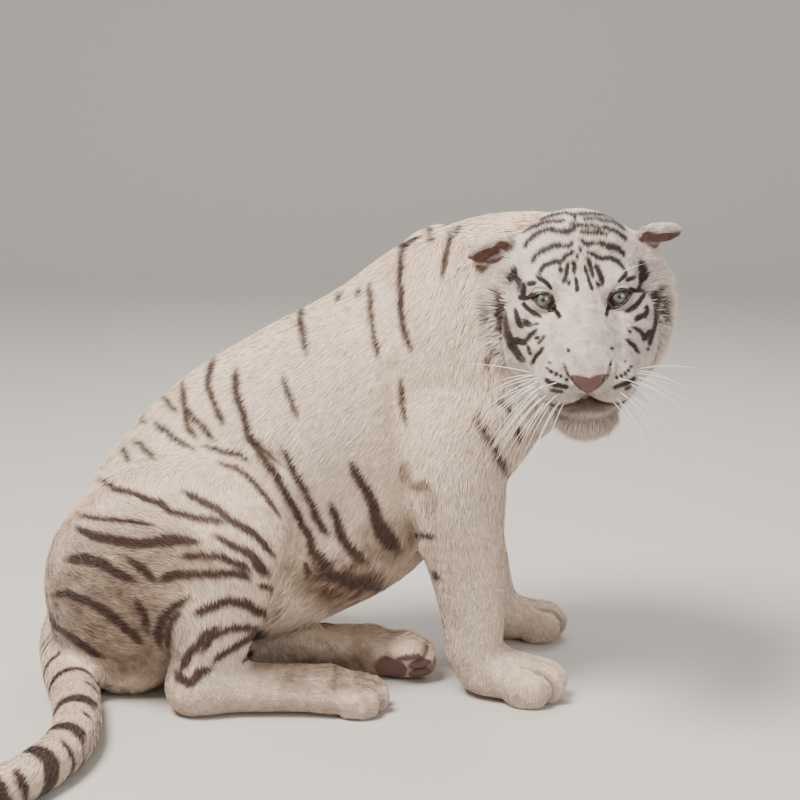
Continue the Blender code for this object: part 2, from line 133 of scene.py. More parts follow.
RIGHT_THIGH = [
    (-0.47, -0.09, 0.22, 0.11, 0.15),
    (-0.38, -0.15, 0.28, 0.1, 0.165),
    (-0.285, -0.195, 0.3, 0.075, 0.095),
]
RIGHT_SHANK = [
    (-0.275, -0.2, 0.29, 0.07, 0.072),
    (-0.3, -0.2, 0.19, 0.06, 0.07),
    (-0.335, -0.19, 0.09, 0.05, 0.055),
    (-0.35, -0.188, 0.05, 0.046, 0.044),
]
RIGHT_HIND_FOOT = [
    (-0.35, -0.188, 0.043, 0.044, 0.044),
    (-0.23, -0.186, 0.043, 0.044, 0.043),
    (-0.13, -0.183, 0.041, 0.05, 0.04),
]
LEFT_THIGH = [
    (-0.47, 0.09, 0.18, 0.11, 0.14),
    (-0.35, 0.16, 0.17, 0.1, 0.13),
    (-0.21, 0.205, 0.13, 0.075, 0.09),
]
LEFT_SHANK = [
    (-0.2, 0.2, 0.11, 0.065, 0.07),
    (-0.24, 0.11, 0.08, 0.055, 0.06),
    (-0.27, 0.04, 0.055, 0.045, 0.048),
]
LEFT_HIND_FOOT = [
    (-0.265, 0.035, 0.048, 0.044, 0.046),
    (-0.15, 0.005, 0.047, 0.038, 0.044),
    (-0.06, -0.01, 0.048, 0.036, 0.049),
]
TAIL = [
    (-0.555, 0.02, 0.15, 0.055, 0.055),
    (-0.603, -0.01, 0.083, 0.049, 0.049),
    (-0.588, -0.1, 0.045, 0.047, 0.047),
    (-0.551, -0.235, 0.041, 0.043, 0.043),
    (-0.528, -0.37, 0.039, 0.041, 0.041),
    (-0.543, -0.48, 0.037, 0.039, 0.039),
    (-0.598, -0.58, 0.035, 0.037, 0.037),
    (-0.69, -0.65, 0.034, 0.036, 0.036),
    (-0.8, -0.68, 0.029, 0.031, 0.031),
]
# Masses of the head: centre, radii, blend width and tilt, each mirrored across the face.
HEAD_MASSES = [
    ((0, -0.12, 0.018), (0.106, 0.11, 0.104), 0.01, 0),  # cranium
    ((0.018, -0.058, 0.026), (0.078, 0.085, 0.046), 0.03, -36),  # forehead
    ((0.058, -0.01, 0.018), (0.035, 0.025, 0.02), 0.025, 0),  # brow
    ((0.08, -0.03, -0.04), (0.042, 0.056, 0.045), 0.03, 0),  # cheekbone
    ((0.08, -0.075, -0.082), (0.058, 0.08, 0.082), 0.03, 0),  # jaw muscle
    ((0.104, -0.118, -0.048), (0.058, 0.055, 0.122), 0.035, 0),  # ruff
    ((0.056, 0.012, -0.085), (0.042, 0.06, 0.055), 0.03, 0),  # cheek
    ((0, 0.04, -0.088), (0.073, 0.085, 0.06), 0.025, 0),  # muzzle
    ((0.04, 0.088, -0.113), (0.041, 0.055, 0.04), 0.018, 0),  # whisker pad
    ((0, 0.136, -0.096), (0.031, 0.021, 0.023), 0.01, 0),  # nose
    ((0, 0.08, -0.167), (0.049, 0.05, 0.034), 0.012, 0),  # chin
]
NOSE_BRIDGE = [
    (0, -0.03, -0.003, 0.058, 0.046),
    (0, 0.04, -0.038, 0.049, 0.038),
    (0, 0.122, -0.082, 0.04, 0.03),
]
LOWER_JAW = [
    (0, 0.05, -0.155, 0.052, 0.038),
    (0.045, -0.03, -0.145, 0.05, 0.045),
    (0.055, -0.12, -0.11, 0.05, 0.06),
]
# Eye socket: centre, radii and blend width.
EYE_SOCKET = ((EYE_APART, 0.035, -0.003), (0.022, 0.024, 0.017), 0.012)
# Ears: root, the way each points and the way its hollow faces, in the head's axes.
EARS = {
    "right": ((0.104, -0.09, 0.08), (0.82, -0.4, -0.36), (0.1, 0.56, -0.8)),
    "left": ((-0.098, -0.09, 0.079), (-0.87, -0.44, -0.03), (-0.1, 0.6, -0.76)),
}
EAR_CENTRE_ALONG = 0.041
EAR_RADII = (0.025, 0.045, 0.0155)
# Toes: right, forward and up in a paw's own axes, forward by its reach, the others by its size.
TOES = [
    (-0.039, 0.7, -0.022),
    (-0.014, 0.89, -0.017),
    (0.014, 0.91, -0.017),
    (0.039, 0.74, -0.022),
]
TOE_RADII = (0.0215, 0.036, 0.031)
# Paws: wrist, heading, up, size and reach.
PAWS = {
    "fore_right": ((0.135, -0.095, 0.052), (0.95, -0.3, 0), (0, 0, 1), 1.14, 0.136),
    "fore_left": ((0.175, 0.195, 0.05), (0.98, 0.1, 0), (0, 0, 1), 1.08, 0.12),
    "hind_right": ((-0.15, -0.182, 0.045), (0.995, 0.02, 0), (0, 0, 1), 1.02, 0.105),
    "hind_left": ((-0.07, -0.005, 0.052), (0.99, -0.16, 0), (0.1, 0.8, 0.52), 1.02, 0.115),
}

# ---------------------------------------------------------------- signed distances


def smooth_union(a, b, width):
    mix = np.maximum(width - np.abs(a - b), 0) / width
    return np.minimum(a, b) - mix * mix * width / 4


def smooth_cut(a, b, width):
    return -smooth_union(-a, b, width)


def single(*numbers):
    """The numbers as one array in single precision."""
    return np.array(numbers, F32)


def length(rows):
    return np.sqrt(np.einsum("ij,ij->i", rows, rows))


def near_only(points, low, high, shape, reach=0.09):
    """A shape worked out only near its own box; farther off, the distance to the box stands in."""
    gap = length(np.maximum(np.maximum(low - points, points - high), 0))
    distance = (gap + 0.02).astype(F32)
    near = gap < reach
    if near.any():
        distance[near] = shape(points[near])
    return distance


def ellipse_distance(scaled, scaled_twice):
    return scaled * (scaled - 1) / np.maximum(scaled_twice, 1e-6)


def ellipsoid(points, centre, radii, axes=None):
    centre = np.array(centre, F32)
    radii = np.array(radii, F32)

    def shape(near):
        local = near - centre
        if axes is not None:
            local = local @ axes.astype(F32)
        return ellipse_distance(length(local / radii), length(local / radii**2))

    return near_only(points, centre - radii.max(), centre + radii.max(), shape)


def smooth_rows(stations, steps):
    """Stations with more between them, along a Catmull-Rom curve."""
    rows = np.array(stations, float)
    padded = np.vstack([2 * rows[0] - rows[1], rows, 2 * rows[-1] - rows[-2]])
    out = []
    for a, b, c, d in zip(padded, padded[1:], padded[2:], padded[3:]):
        for t in np.arange(steps) / steps:
            linear = 2 * b + (c - a) * t
            curved = (2 * a - 5 * b + 4 * c - d) * t**2 + (3 * b - a - 3 * c + d) * t**3
            out.append(0.5 * (linear + curved))
    out.append(rows[-1])
    return np.array(out, F32)


def from_segment(points, a, b):
    """How far along a segment the place nearest each point is, from 0 to 1, and the way from there."""
    axis = b - a
    t = np.clip((points - a) @ (axis / (axis @ axis)), 0, 1)
    return t, points - a - t[:, None] * axis


def limb(points, stations, across=None, steps=5):
    """Signed distance to a tapering limb with oval sections, or round ones where across is None."""
    rows = smooth_rows(stations, steps)
    reach = rows[:, 3:].max()
    across = None if across is None else np.array(across, F32)

    def shape(near):
        best = np.full(len(near), FAR, F32)
        for a, b in zip(rows, rows[1:]):
            t, off = from_segment(near, a[:3], b[:3])
            wide = a[3] + t * (b[3] - a[3])
            if across is None:
                distance = length(off) - wide
            else:
                deep = a[4] + t * (b[4] - a[4])
                u = off @ across
                v = np.sqrt(np.maximum(np.einsum("ij,ij->i", off, off) - u * u, 0))
                scaled_twice = np.hypot(u / wide**2, v / deep**2)
                distance = ellipse_distance(np.hypot(u / wide, v / deep), scaled_twice)
            best = np.minimum(best, distance)
        return best

    return near_only(points, rows[:, :3].min(0) - reach, rows[:, :3].max(0) + reach, shape)


def direction(vector):
    return np.array(vector) / np.linalg.norm(vector)


def axes_of(forward, up):
    """A matrix whose columns point right, forward and up."""
    forward = direction(forward)
    up = direction(np.array(up, float) - forward * (forward @ np.array(up, float)))
    return np.column_stack([np.cross(forward, up), forward, up])


HEAD_AXES = axes_of(FACE_FORWARD, FACE_UP)


def in_head(points):
    return ((points - EYES_MIDDLE.astype(F32)) @ HEAD_AXES.astype(F32)).astype(F32)


def from_head(local):
    return EYES_MIDDLE + np.array(local, float) @ HEAD_AXES.T


def tilt_axes(degrees):
    return np.array(Matrix.Rotation(math.radians(degrees), 3, "X"))


def mirrored(local):
    out = local.copy()
    out[:, 0] = np.abs(out[:, 0])
    return out


def head(points):
    local = mirrored(in_head(points))
    distance = np.full(len(local), FAR, F32)
    for centre, radii, blend, tilt in HEAD_MASSES:
        distance = smooth_union(distance, ellipsoid(local, centre, radii, tilt_axes(tilt)), blend)
    distance = smooth_union(distance, limb(local, NOSE_BRIDGE, (1, 0, 0)), 0.015)
    distance = smooth_union(distance, limb(local, LOWER_JAW, (1, 0, 0)), 0.025)
    centre, radii, blend = EYE_SOCKET
    return smooth_cut(distance, ellipsoid(local, centre, radii), blend)


def ear_axes(local, side):
    """Points of the head's axes in those of an ear: across, out along it, away from its hollow."""
    root, along, hollow_faces = EARS[side]
    axes = axes_of(along, -np.array(hollow_faces)).astype(F32)
    return (local - np.array(root, F32)) @ axes


def in_ear(points, side):
    return ear_axes(in_head(points), side)


def ear(points, side):
    """A round ear laid flat sideways, hollow on one face."""
    local = in_ear(points, side)
    wide, long, thick = EAR_RADII
    shell = ellipsoid(local, (0, EAR_CENTRE_ALONG, 0), EAR_RADII)
    hollow = ellipsoid(local, (0, EAR_CENTRE_ALONG, -thick), (0.8 * wide, 0.85 * long, 0.9 * thick))
    return smooth_cut(shell, hollow, 0.004)


def in_paw(points, name):
    wrist, heading, up, _, _ = PAWS[name]
    return (points - np.array(wrist, F32)) @ axes_of(heading, up).astype(F32)


def paw(points, name, toe_blend=0.012):
    local = in_paw(points, name)
    size, reach = PAWS[name][3:]
    radii = (0.05 * size, 0.62 * reach, 0.036 * size)
    distance = ellipsoid(local, (0, 0.45 * reach, -0.012 * size), radii)
    for right, forward, lift in TOES:
        centre = (right * size, forward * reach, lift * size)
        toe = ellipsoid(local, centre, np.array(TOE_RADII) * size)
        distance = smooth_union(distance, toe, toe_blend)
    return distance


def joined(points, limbs, blend):
    distance = limb(points, limbs[0], ACROSS)
    for stations in limbs[1:]:
        distance = smooth_union(distance, limb(points, stations, ACROSS), blend)
    return distance


def foreleg(points, stations, name):
    return smooth_union(limb(points, stations, ACROSS), paw(points, name), 0.03)


def right_hind_leg(points):
    leg = joined(points, [RIGHT_THIGH, RIGHT_SHANK, RIGHT_HIND_FOOT], 0.045)
    return smooth_union(leg, paw(points, "hind_right"), 0.02)


def left_hind_leg(points):
    leg = smooth_union(limb(points, LEFT_THIGH, ACROSS), limb(points, LEFT_SHANK, (1, 0, 0)), 0.04)
    leg = smooth_union(leg, limb(points, LEFT_HIND_FOOT, ACROSS), 0.03)
    return smooth_union(leg, paw(points, "hind_left"), 0.02)


def buttock(points, side):
    return ellipsoid(points, (-0.488, 0.085 * side, 0.155), (0.125, 0.095, 0.165))


def torso(points):
    distance = limb(points, TRUNK, ACROSS, steps=10)
    distance = smooth_union(distance, limb(points, BELLY, ACROSS), 0.04)
    distance = smooth_union(distance, ellipsoid(points, *BELLY_FOLD), 0.03)
    return smooth_union(distance, limb(points, NECK, (0.24, 0.97, 0)), 0.06)


def flesh(points):
    """Signed distance to the whole animal out to the tips of her coat, as in the solids."""
    distance = smooth_union(torso(points), head(points), 0.035)
    legs = [foreleg(points, RIGHT_FORELEG, "fore_right"), foreleg(points, LEFT_FORELEG, "fore_left")]
    for leg in legs + [right_hind_leg(points), left_hind_leg(points)]:
        distance = smooth_union(distance, leg, 0.045)
    for side in (-1, 1):
        distance = smooth_union(distance, buttock(points, side), 0.04)
    distance = smooth_union(distance, limb(points, TAIL), 0.03)
    for side in EARS:
        distance = smooth_union(distance, ear(points, side), 0.012)
    return distance


def grid_of_distances(shape, low, high, step, levels=3):
    """Distances on a grid: found coarsely, then refined level by level near the surface only."""
    coarse = step * 2**levels
    counts = np.ceil((np.array(high) - low) / coarse).astype(int) + 1
    lines = [low[axis] + coarse * np.arange(counts[axis]) for axis in range(3)]
    corners = np.stack(np.meshgrid(*lines, indexing="ij"), -1).reshape(-1, 3)
    values = shape(corners.astype(F32)).reshape(counts)
    for level in range(levels):
        size = coarse / 2**level
        for axis in range(3):
            values = np.moveaxis(values, axis, 0)
            finer = np.empty((2 * len(values) - 1, *values.shape[1:]), F32)
            finer[::2] = values
            finer[1::2] = (values[:-1] + values[1:]) / 2
            values = np.moveaxis(finer, 0, axis)
        values = np.ascontiguousarray(values)
        near = np.argwhere(np.abs(values) < 1.9 * size)
        values[tuple(near.T)] = shape((near * (size / 2) + np.array(low)).astype(F32))
    return values


# ---------------------------------------------------------------- small helpers


def ramp(values, start, end):
    """0 before start, 1 after end, and smooth between."""
    t = np.clip((values - start) / (end - start), 0, 1)
    return t * t * (3 - 2 * t)


def bump_at(distance, width):
    return np.exp(-((distance / width) ** 2))


def path_distance(flat, path):
    """Distance of each point to a broken line, in two dimensions or three."""
    path = np.array(path, F32)
    best = np.full(len(flat), FAR, F32)
    for a, b in zip(path, path[1:]):
        best = np.minimum(best, length(from_segment(flat, a, b)[1]))
    return best


def unit(rows):
    return rows / np.maximum(length(rows), 1e-9)[:, None]


def lattice_value(cells, seed):
    """A fixed number from 0 to 1 for each cell of a lattice."""
    x, y, z = cells.T
    mixed = x * 73856093 ^ y * 19349663 ^ z * 83492791 ^ seed * 2654435761
    mixed = (mixed ^ (mixed >> 13)) * 1274126177 & 0xFFFFFFFF
    return ((mixed ^ (mixed >> 16)) & 0xFFFF).astype(F32) / 65535


def noise(points, size, seed):
    """Smooth noise from -1 to 1 whose patches are about this size."""
    scaled = points / size + 100
    cell = np.floor(scaled).astype(np.int64)
    part = (scaled - cell).astype(F32)
    part = part * part * (3 - 2 * part)
    total = np.zeros(len(points), F32)
    for corner in np.ndindex(2, 2, 2):
        share = np.where(corner, part, 1 - part).prod(1)
        total += share * lattice_value(cell + np.array(corner), seed)
    return 2 * total - 1


# ---------------------------------------------------------------- the skin under the coat

# Her line of sight in the head's axes. Points of the lids are outward and up, seen along it.
GAZE = direction((0.002, 0.974, 0.226))
LID_RADIUS = 0.0204
LID_OUTER_CORNER = np.array((0.0165, 0.004))
LID_INNER_CORNER = np.array((-0.0175, -0.0165))
LID_UPPER_RISE = 0.014
LID_LOWER_RISE = 0.0055
TEAR_GROOVE = [(-0.0165, -0.0155), (-0.0215, -0.0215), (-0.0235, -0.0275)]
LID_FOLD = [
    (0.021, 0.008),
    (0.011, 0.0185),
    (-0.003, 0.0175),
    (-0.013, 0.008),
    (-0.021, -0.006),
]

# Lines of mouth, nose and nostrils: out from the midline and up, in the head's axes.
MOUTH_LINE = [
    (0, -0.1315),
    (0.01, -0.1365),
    (0.024, -0.1395),
    (0.037, -0.142),
    (0.049, -0.143),
    (0.06, -0.1385),
]
PHILTRUM = [(0.0, -0.117), (0.0, -0.1315)]
NOSTRIL = [(0.0345, -0.0745), (0.0325, -0.082), (0.0295, -0.089), (0.025, -0.095)]
LEATHER_EDGE = [(0.025, -0.095), (0.0185, -0.102), (0.012, -0.1085)]
NOSE_TOP = -0.085
NOSE_TIP = -0.119


def eye_plane(local):
    """Each point in the axes of the nearer eye: outward from the midline, up, and forward."""
    mirrored_rows = mirrored(local) - single(EYE_APART, EYE_DEPTH, 0)
    forward = np.array((0, GAZE[1], GAZE[2])) / np.hypot(GAZE[1], GAZE[2])
    up = np.array((0, -forward[2], forward[1]))
    outward = mirrored_rows[:, 0]
    return outward, (mirrored_rows @ up).astype(F32), (mirrored_rows @ forward).astype(F32)


def arc_centre(rise, side):
    """The centre and radius of an arc through both lid corners that bulges up or down by rise."""
    chord = LID_OUTER_CORNER - LID_INNER_CORNER
    half = np.linalg.norm(chord) / 2
    radius = (half**2 + rise**2) / (2 * rise)
    upward = np.array((-chord[1], chord[0])) / np.linalg.norm(chord)
    middle = (LID_OUTER_CORNER + LID_INNER_CORNER) / 2
    return middle - side * upward * (radius - rise), radius


def lid_gap(outward, up):
    """Distance to the almond between the lids, seen from in front, less than 0 within it."""
    flat = np.column_stack([outward, up]).astype(F32)
    upper, upper_radius = arc_centre(LID_UPPER_RISE, 1)
    lower, lower_radius = arc_centre(LID_LOWER_RISE, -1)
    above = length(flat - upper.astype(F32)) - upper_radius
    below = length(flat - lower.astype(F32)) - lower_radius
    return np.maximum(above, below)


# Hollows of the skin: depth, half width, then points forward and up as her flank is seen.
CREASES = [
    (0.008, 0.013, [(-0.012, 0.6), (-0.006, 0.52), (-0.004, 0.46), (0.002, 0.4), (0.013, 0.35),
                    (0.024, 0.31)]),
    (0.009, 0.012, [(-0.24, 0.47), (-0.21, 0.45), (-0.18, 0.41), (-0.168, 0.36), (-0.174, 0.31),
                    (-0.195, 0.26)]),
    (0.006, 0.012, [(-0.195, 0.26), (-0.214, 0.215), (-0.222, 0.165)]),
    (0.007, 0.011, [(-0.171, 0.285), (-0.137, 0.247), (-0.082, 0.229), (-0.027, 0.219)]),
    (0.004, 0.022, [(-0.04, 0.76), (0, 0.7), (0.02, 0.63), (0.026, 0.55)]),
    (0.004, 0.012, [(-0.1, 0.42), (-0.075, 0.37), (-0.045, 0.32)]),
]


# The reach of the head's own coat about the point between her eyes.
HEAD_REACH = (0.19, 0.21, 0.22)

# How far the skin lies under the tips of the coat, or how much deeper it lies in some places.
BODY_DEPTH = 0.0038
CHEST_MORE = 0.003
BELLY_MORE = 0.002
PAW_DEPTH = 0.002
MANE_MORE = 0.006
HEAD_DEPTH = 0.005
RUFF_MORE = 0.008
FACE_DEPTH = 0.0018
MUZZLE_DEPTH = 0.001
EAR_DEPTH = 0.0008
CHIN_DEPTH = 0.01


def ear_share(local):
    """1 on the ears, from a little way out, and 0 elsewhere."""
    share = np.zeros(len(local), F32)
    for side in EARS:
        from_middle = ear_axes(local, side) - single(0, EAR_CENTRE_ALONG, 0)
        out = length(from_middle / (1.35 * single(*EAR_RADII)))
        above_root = ramp(from_middle[:, 1], -0.026, -0.016)
        share = np.maximum(share, (1 - ramp(out, 0.9, 1.1)) * above_root)
    return share


def head_share(local):
    share = 1 - ramp(length(local / single(*HEAD_REACH)), 0.85, 1.02)
    from_chin = (local - single(0, 0.07, -0.15)) / single(0.075, 0.085, 0.085)
    share = np.maximum(share, 1 - ramp(length(from_chin), 0.85, 1.1))
    return np.maximum(share, ear_share(local))


def mane_share(local):
    """The longer coat of the neck, close behind her head."""
    return 1 - ramp(length(local / single(*HEAD_REACH)), 1.1, 1.35)


def chin_share(local):
    return head_share(local) * ramp(-local[:, 2], 0.153, 0.166) * ramp(local[:, 1], 0.01, 0.04)


def creases(points):
    """Shallow hollows in the skin, behind the elbow, before the thigh and under the belly."""
    flat = side_view(points, TRUNK_PLANE)
    total = np.zeros(len(points), F32)
    for deep, width, path in CREASES:
        total += deep * bump_at(path_distance(flat, path), width)
    return total * ramp(np.abs(points[:, 1]), 0.04, 0.09) * ramp(points[:, 2], 0.12, 0.18)


def coat_depth(points, local):
    """How far the skin lies under the tips of the coat."""
    depth = np.full(len(points), BODY_DEPTH, F32)
    x, y, z = points.T
    chest = ramp(x, 0.1, 0.17) * ramp(z, 0.3, 0.4) * (1 - ramp(z, 0.66, 0.74))
    depth += CHEST_MORE * chest
    belly = BELLY_MORE * (1 - ramp(z, 0.2, 0.34)) * ramp(x, -0.36, -0.28)
    depth += belly * (1 - ramp(np.abs(y), 0.1, 0.15))
    depth += (PAW_DEPTH - depth) * (1 - ramp(z, 0.055, 0.11)) * ramp(x, -0.46, -0.38)
    depth += MANE_MORE * mane_share(local)
    near_head = head_share(local)
    depth += creases(points) * (1 - near_head)
    return depth + (head_coat_depth(local) - depth) * near_head


def head_coat_depth(local):
    """The same on the head: least on the muzzle and the ears, most on the ruff and under the chin."""
    side, forward, up = local.T
    depth = np.full(len(local), HEAD_DEPTH, F32)
    ruff = ramp(np.abs(side), 0.075, 0.11) * (1 - ramp(up, -0.01, 0.04))
    depth += RUFF_MORE * (ruff * (1 - ramp(forward, -0.06, -0.015)))
    depth += (FACE_DEPTH - depth) * ramp(forward, -0.05, 0.01) * (1 - ramp(-up, 0.155, 0.175))
    depth += (MUZZLE_DEPTH - depth) * ramp(forward, 0.06, 0.1) * (1 - ramp(-up, 0.15, 0.165))
    depth += (EAR_DEPTH - depth) * ear_share(local)
    depth += (CHIN_DEPTH - depth) * chin_share(local)
    return depth


def with_lids(distance, rows):
    """The distance with lids, lid folds and tear grooves, and the gap between the lids cut."""
    outward, up, forward = eye_plane(rows)
    from_eye = np.sqrt(outward**2 + up**2 + forward**2)
    flat_gap = lid_gap(outward, up)
    shell = np.maximum(from_eye - LID_RADIUS, 0.002 - forward)
    distance = smooth_union(distance, shell, 0.006)
    front = ramp(forward, 0.004, 0.01) * (1 - ramp(from_eye, 0.03, 0.04))
    flat_eye = np.column_stack([outward, up]).astype(F32)
    distance -= 0.0012 * front * bump_at(flat_gap - 0.0016, 0.0018)
    distance += 0.0016 * front * bump_at(path_distance(flat_eye, LID_FOLD), 0.0016)
    distance += 0.0018 * front * bump_at(path_distance(flat_eye, TEAR_GROOVE), 0.0016)
    opening = np.maximum(np.maximum(flat_gap, from_eye - 0.0232), 0.003 - forward)
    return smooth_cut(distance, opening, 0.0012)


def with_mouth(distance, rows):
    """The distance with the line of the mouth, the split above it and the nostrils."""
    flat = np.column_stack([np.abs(rows[:, 0]), rows[:, 2]]).astype(F32)
    facing = ramp(rows[:, 1], 0.045, 0.07)
    distance += 0.0045 * facing * bump_at(path_distance(flat, MOUTH_LINE), 0.0026)
    distance += 0.0022 * facing * bump_at(path_distance(flat, PHILTRUM), 0.0014)
    hollow = path_distance(flat, NOSTRIL)
    distance += 0.0055 * ramp(rows[:, 1], 0.118, 0.13) * bump_at(hollow, 0.0022)
    distance -= 0.0016 * ramp(rows[:, 1], 0.118, 0.132) * bump_at(hollow - 0.0055, 0.0026)
    return distance


def with_face(distance, local):
    from_middle = length(local - single(0, 0.03, -0.07))
    near = np.flatnonzero((local[:, 1] > -0.04) & (from_middle < 0.17))
    if len(near):
        distance[near] = with_mouth(with_lids(distance[near], local[near]), local[near])
    return distance


def with_toes(distance, points):
    """The distance with gaps cut between the toes and the pads of the sole she shows raised."""
    near = np.flatnonzero((points[:, 2] < 0.16) & (points[:, 0] > -0.2))
    if len(near):
        rows = points[near]
        distance[near] += 0.0055 * toe_gaps(rows, 0.0034) - 0.0015 * sole_pads(rows)
    return distance


def skin(points):
    local = in_head(points)
    distance = flesh(points) + coat_depth(points, local)
    distance = with_face(distance, local)
    distance = with_toes(distance, points)
    return smooth_cut(distance, points[:, 2] - 0.003, 0.006)


def slope(shape, points, step=0.0006):
    """The gradient of a distance, from four samples about each point."""
    total = np.zeros((len(points), 3), F32)
    for corner in ((1, 1, 1), (1, -1, -1), (-1, 1, -1), (-1, -1, 1)):
        corner = np.array(corner, F32)
        total += shape(points + corner * F32(step))[:, None] * corner
    return total / (4 * step)


def drawn_onto(shape, points, rounds):
    """Points moved onto the surface, a few steps of Newton's method each."""
    for _ in range(rounds):
        gradient = slope(shape, points)
        size = np.maximum(np.einsum("ij,ij->i", gradient, gradient), 0.2)
        move = (shape(points) / size)[:, None] * gradient
        points = points - np.clip(move, -0.004, 0.004)
    return points


SKIN_STEP = 0.0072


def face_reach(points, level):
    """Whether an edge's middle lies where the skin is meshed this many levels finer."""
    local = in_head(points)
    outward, up, forward = eye_plane(local)
    by_eye = (outward**2 + up**2 + forward**2) < 0.031**2
    nose = (np.abs(local[:, 0]) < 0.04) & (np.abs(local[:, 2] + 0.1) < 0.026)
    nose &= local[:, 1] > 0.11
    mouth = (local[:, 1] > 0.05) & (np.abs(local[:, 2] + 0.143) < 0.016)
    if level == 3:
        return by_eye | nose | mouth
    toes = (toe_gaps(points, 0.01) > 0.3) & (points[:, 2] > 0.006)
    if level == 2:
        face = (np.abs(local[:, 0]) < 0.1) & (np.abs(local[:, 2] + 0.065) < 0.125)
        return (face & (local[:, 1] > -0.02)) | toes
    head_front = (local[:, 1] > -0.075) & (length(local) < 0.2)
    ears = np.zeros(len(points), bool)
    for side in EARS:
        ears |= length(in_ear(points, side) - single(0, 0.04, 0)) < 0.055
    paws = np.zeros(len(points), bool)
    for name in PAWS:
        paws |= length(in_paw(points, name) - single(0, 0.09, -0.015)) < 0.085
    return head_front | ears | paws


def skin_mesh():
    """Her skin as one closed mesh, finest about the eyes, the nose and the mouth."""
    low = np.array((-0.9, -0.78, -0.05))
    grid = openvdb.FloatGrid(background=FAR)
    grid.copyFromArray(grid_of_distances(skin, low, (0.55, 0.4, 0.92), SKIN_STEP).astype(F32))
    points, quads = grid.convertToQuads(isovalue=0.0)
    mesh = bpy.data.meshes.new("skin")
    mesh.from_pydata((points * SKIN_STEP + low).tolist(), [], quads.tolist())
    for level in (1, 2, 3):
        put_points(mesh, drawn_onto(skin, points_of(mesh), 1))
        form = bmesh.new()
        form.from_mesh(mesh)
        middles = np.array([(edge.verts[0].co + edge.verts[1].co) / 2 for edge in form.edges], F32)
        chosen = face_reach(middles, level)
        edges = [edge for edge, fine in zip(form.edges, chosen) if fine]
        bmesh.ops.subdivide_edges(form, edges=edges, cuts=1, use_grid_fill=True)
        form.to_mesh(mesh)
        form.free()
    put_points(mesh, drawn_onto(skin, points_of(mesh), 2))
    return mesh


def points_of(mesh):
    points = np.empty(len(mesh.vertices) * 3, F32)
    mesh.vertices.foreach_get("co", points)
    return points.reshape(-1, 3)


def put_points(mesh, points):
    mesh.vertices.foreach_set("co", np.ascontiguousarray(points, F32).reshape(-1))
    mesh.update()


def normals_of(mesh):
    normals = np.empty(len(mesh.vertices) * 3, F32)
    mesh.vertices.foreach_get("normal", normals)
    return normals.reshape(-1, 3)


# ---------------------------------------------------------------- markings

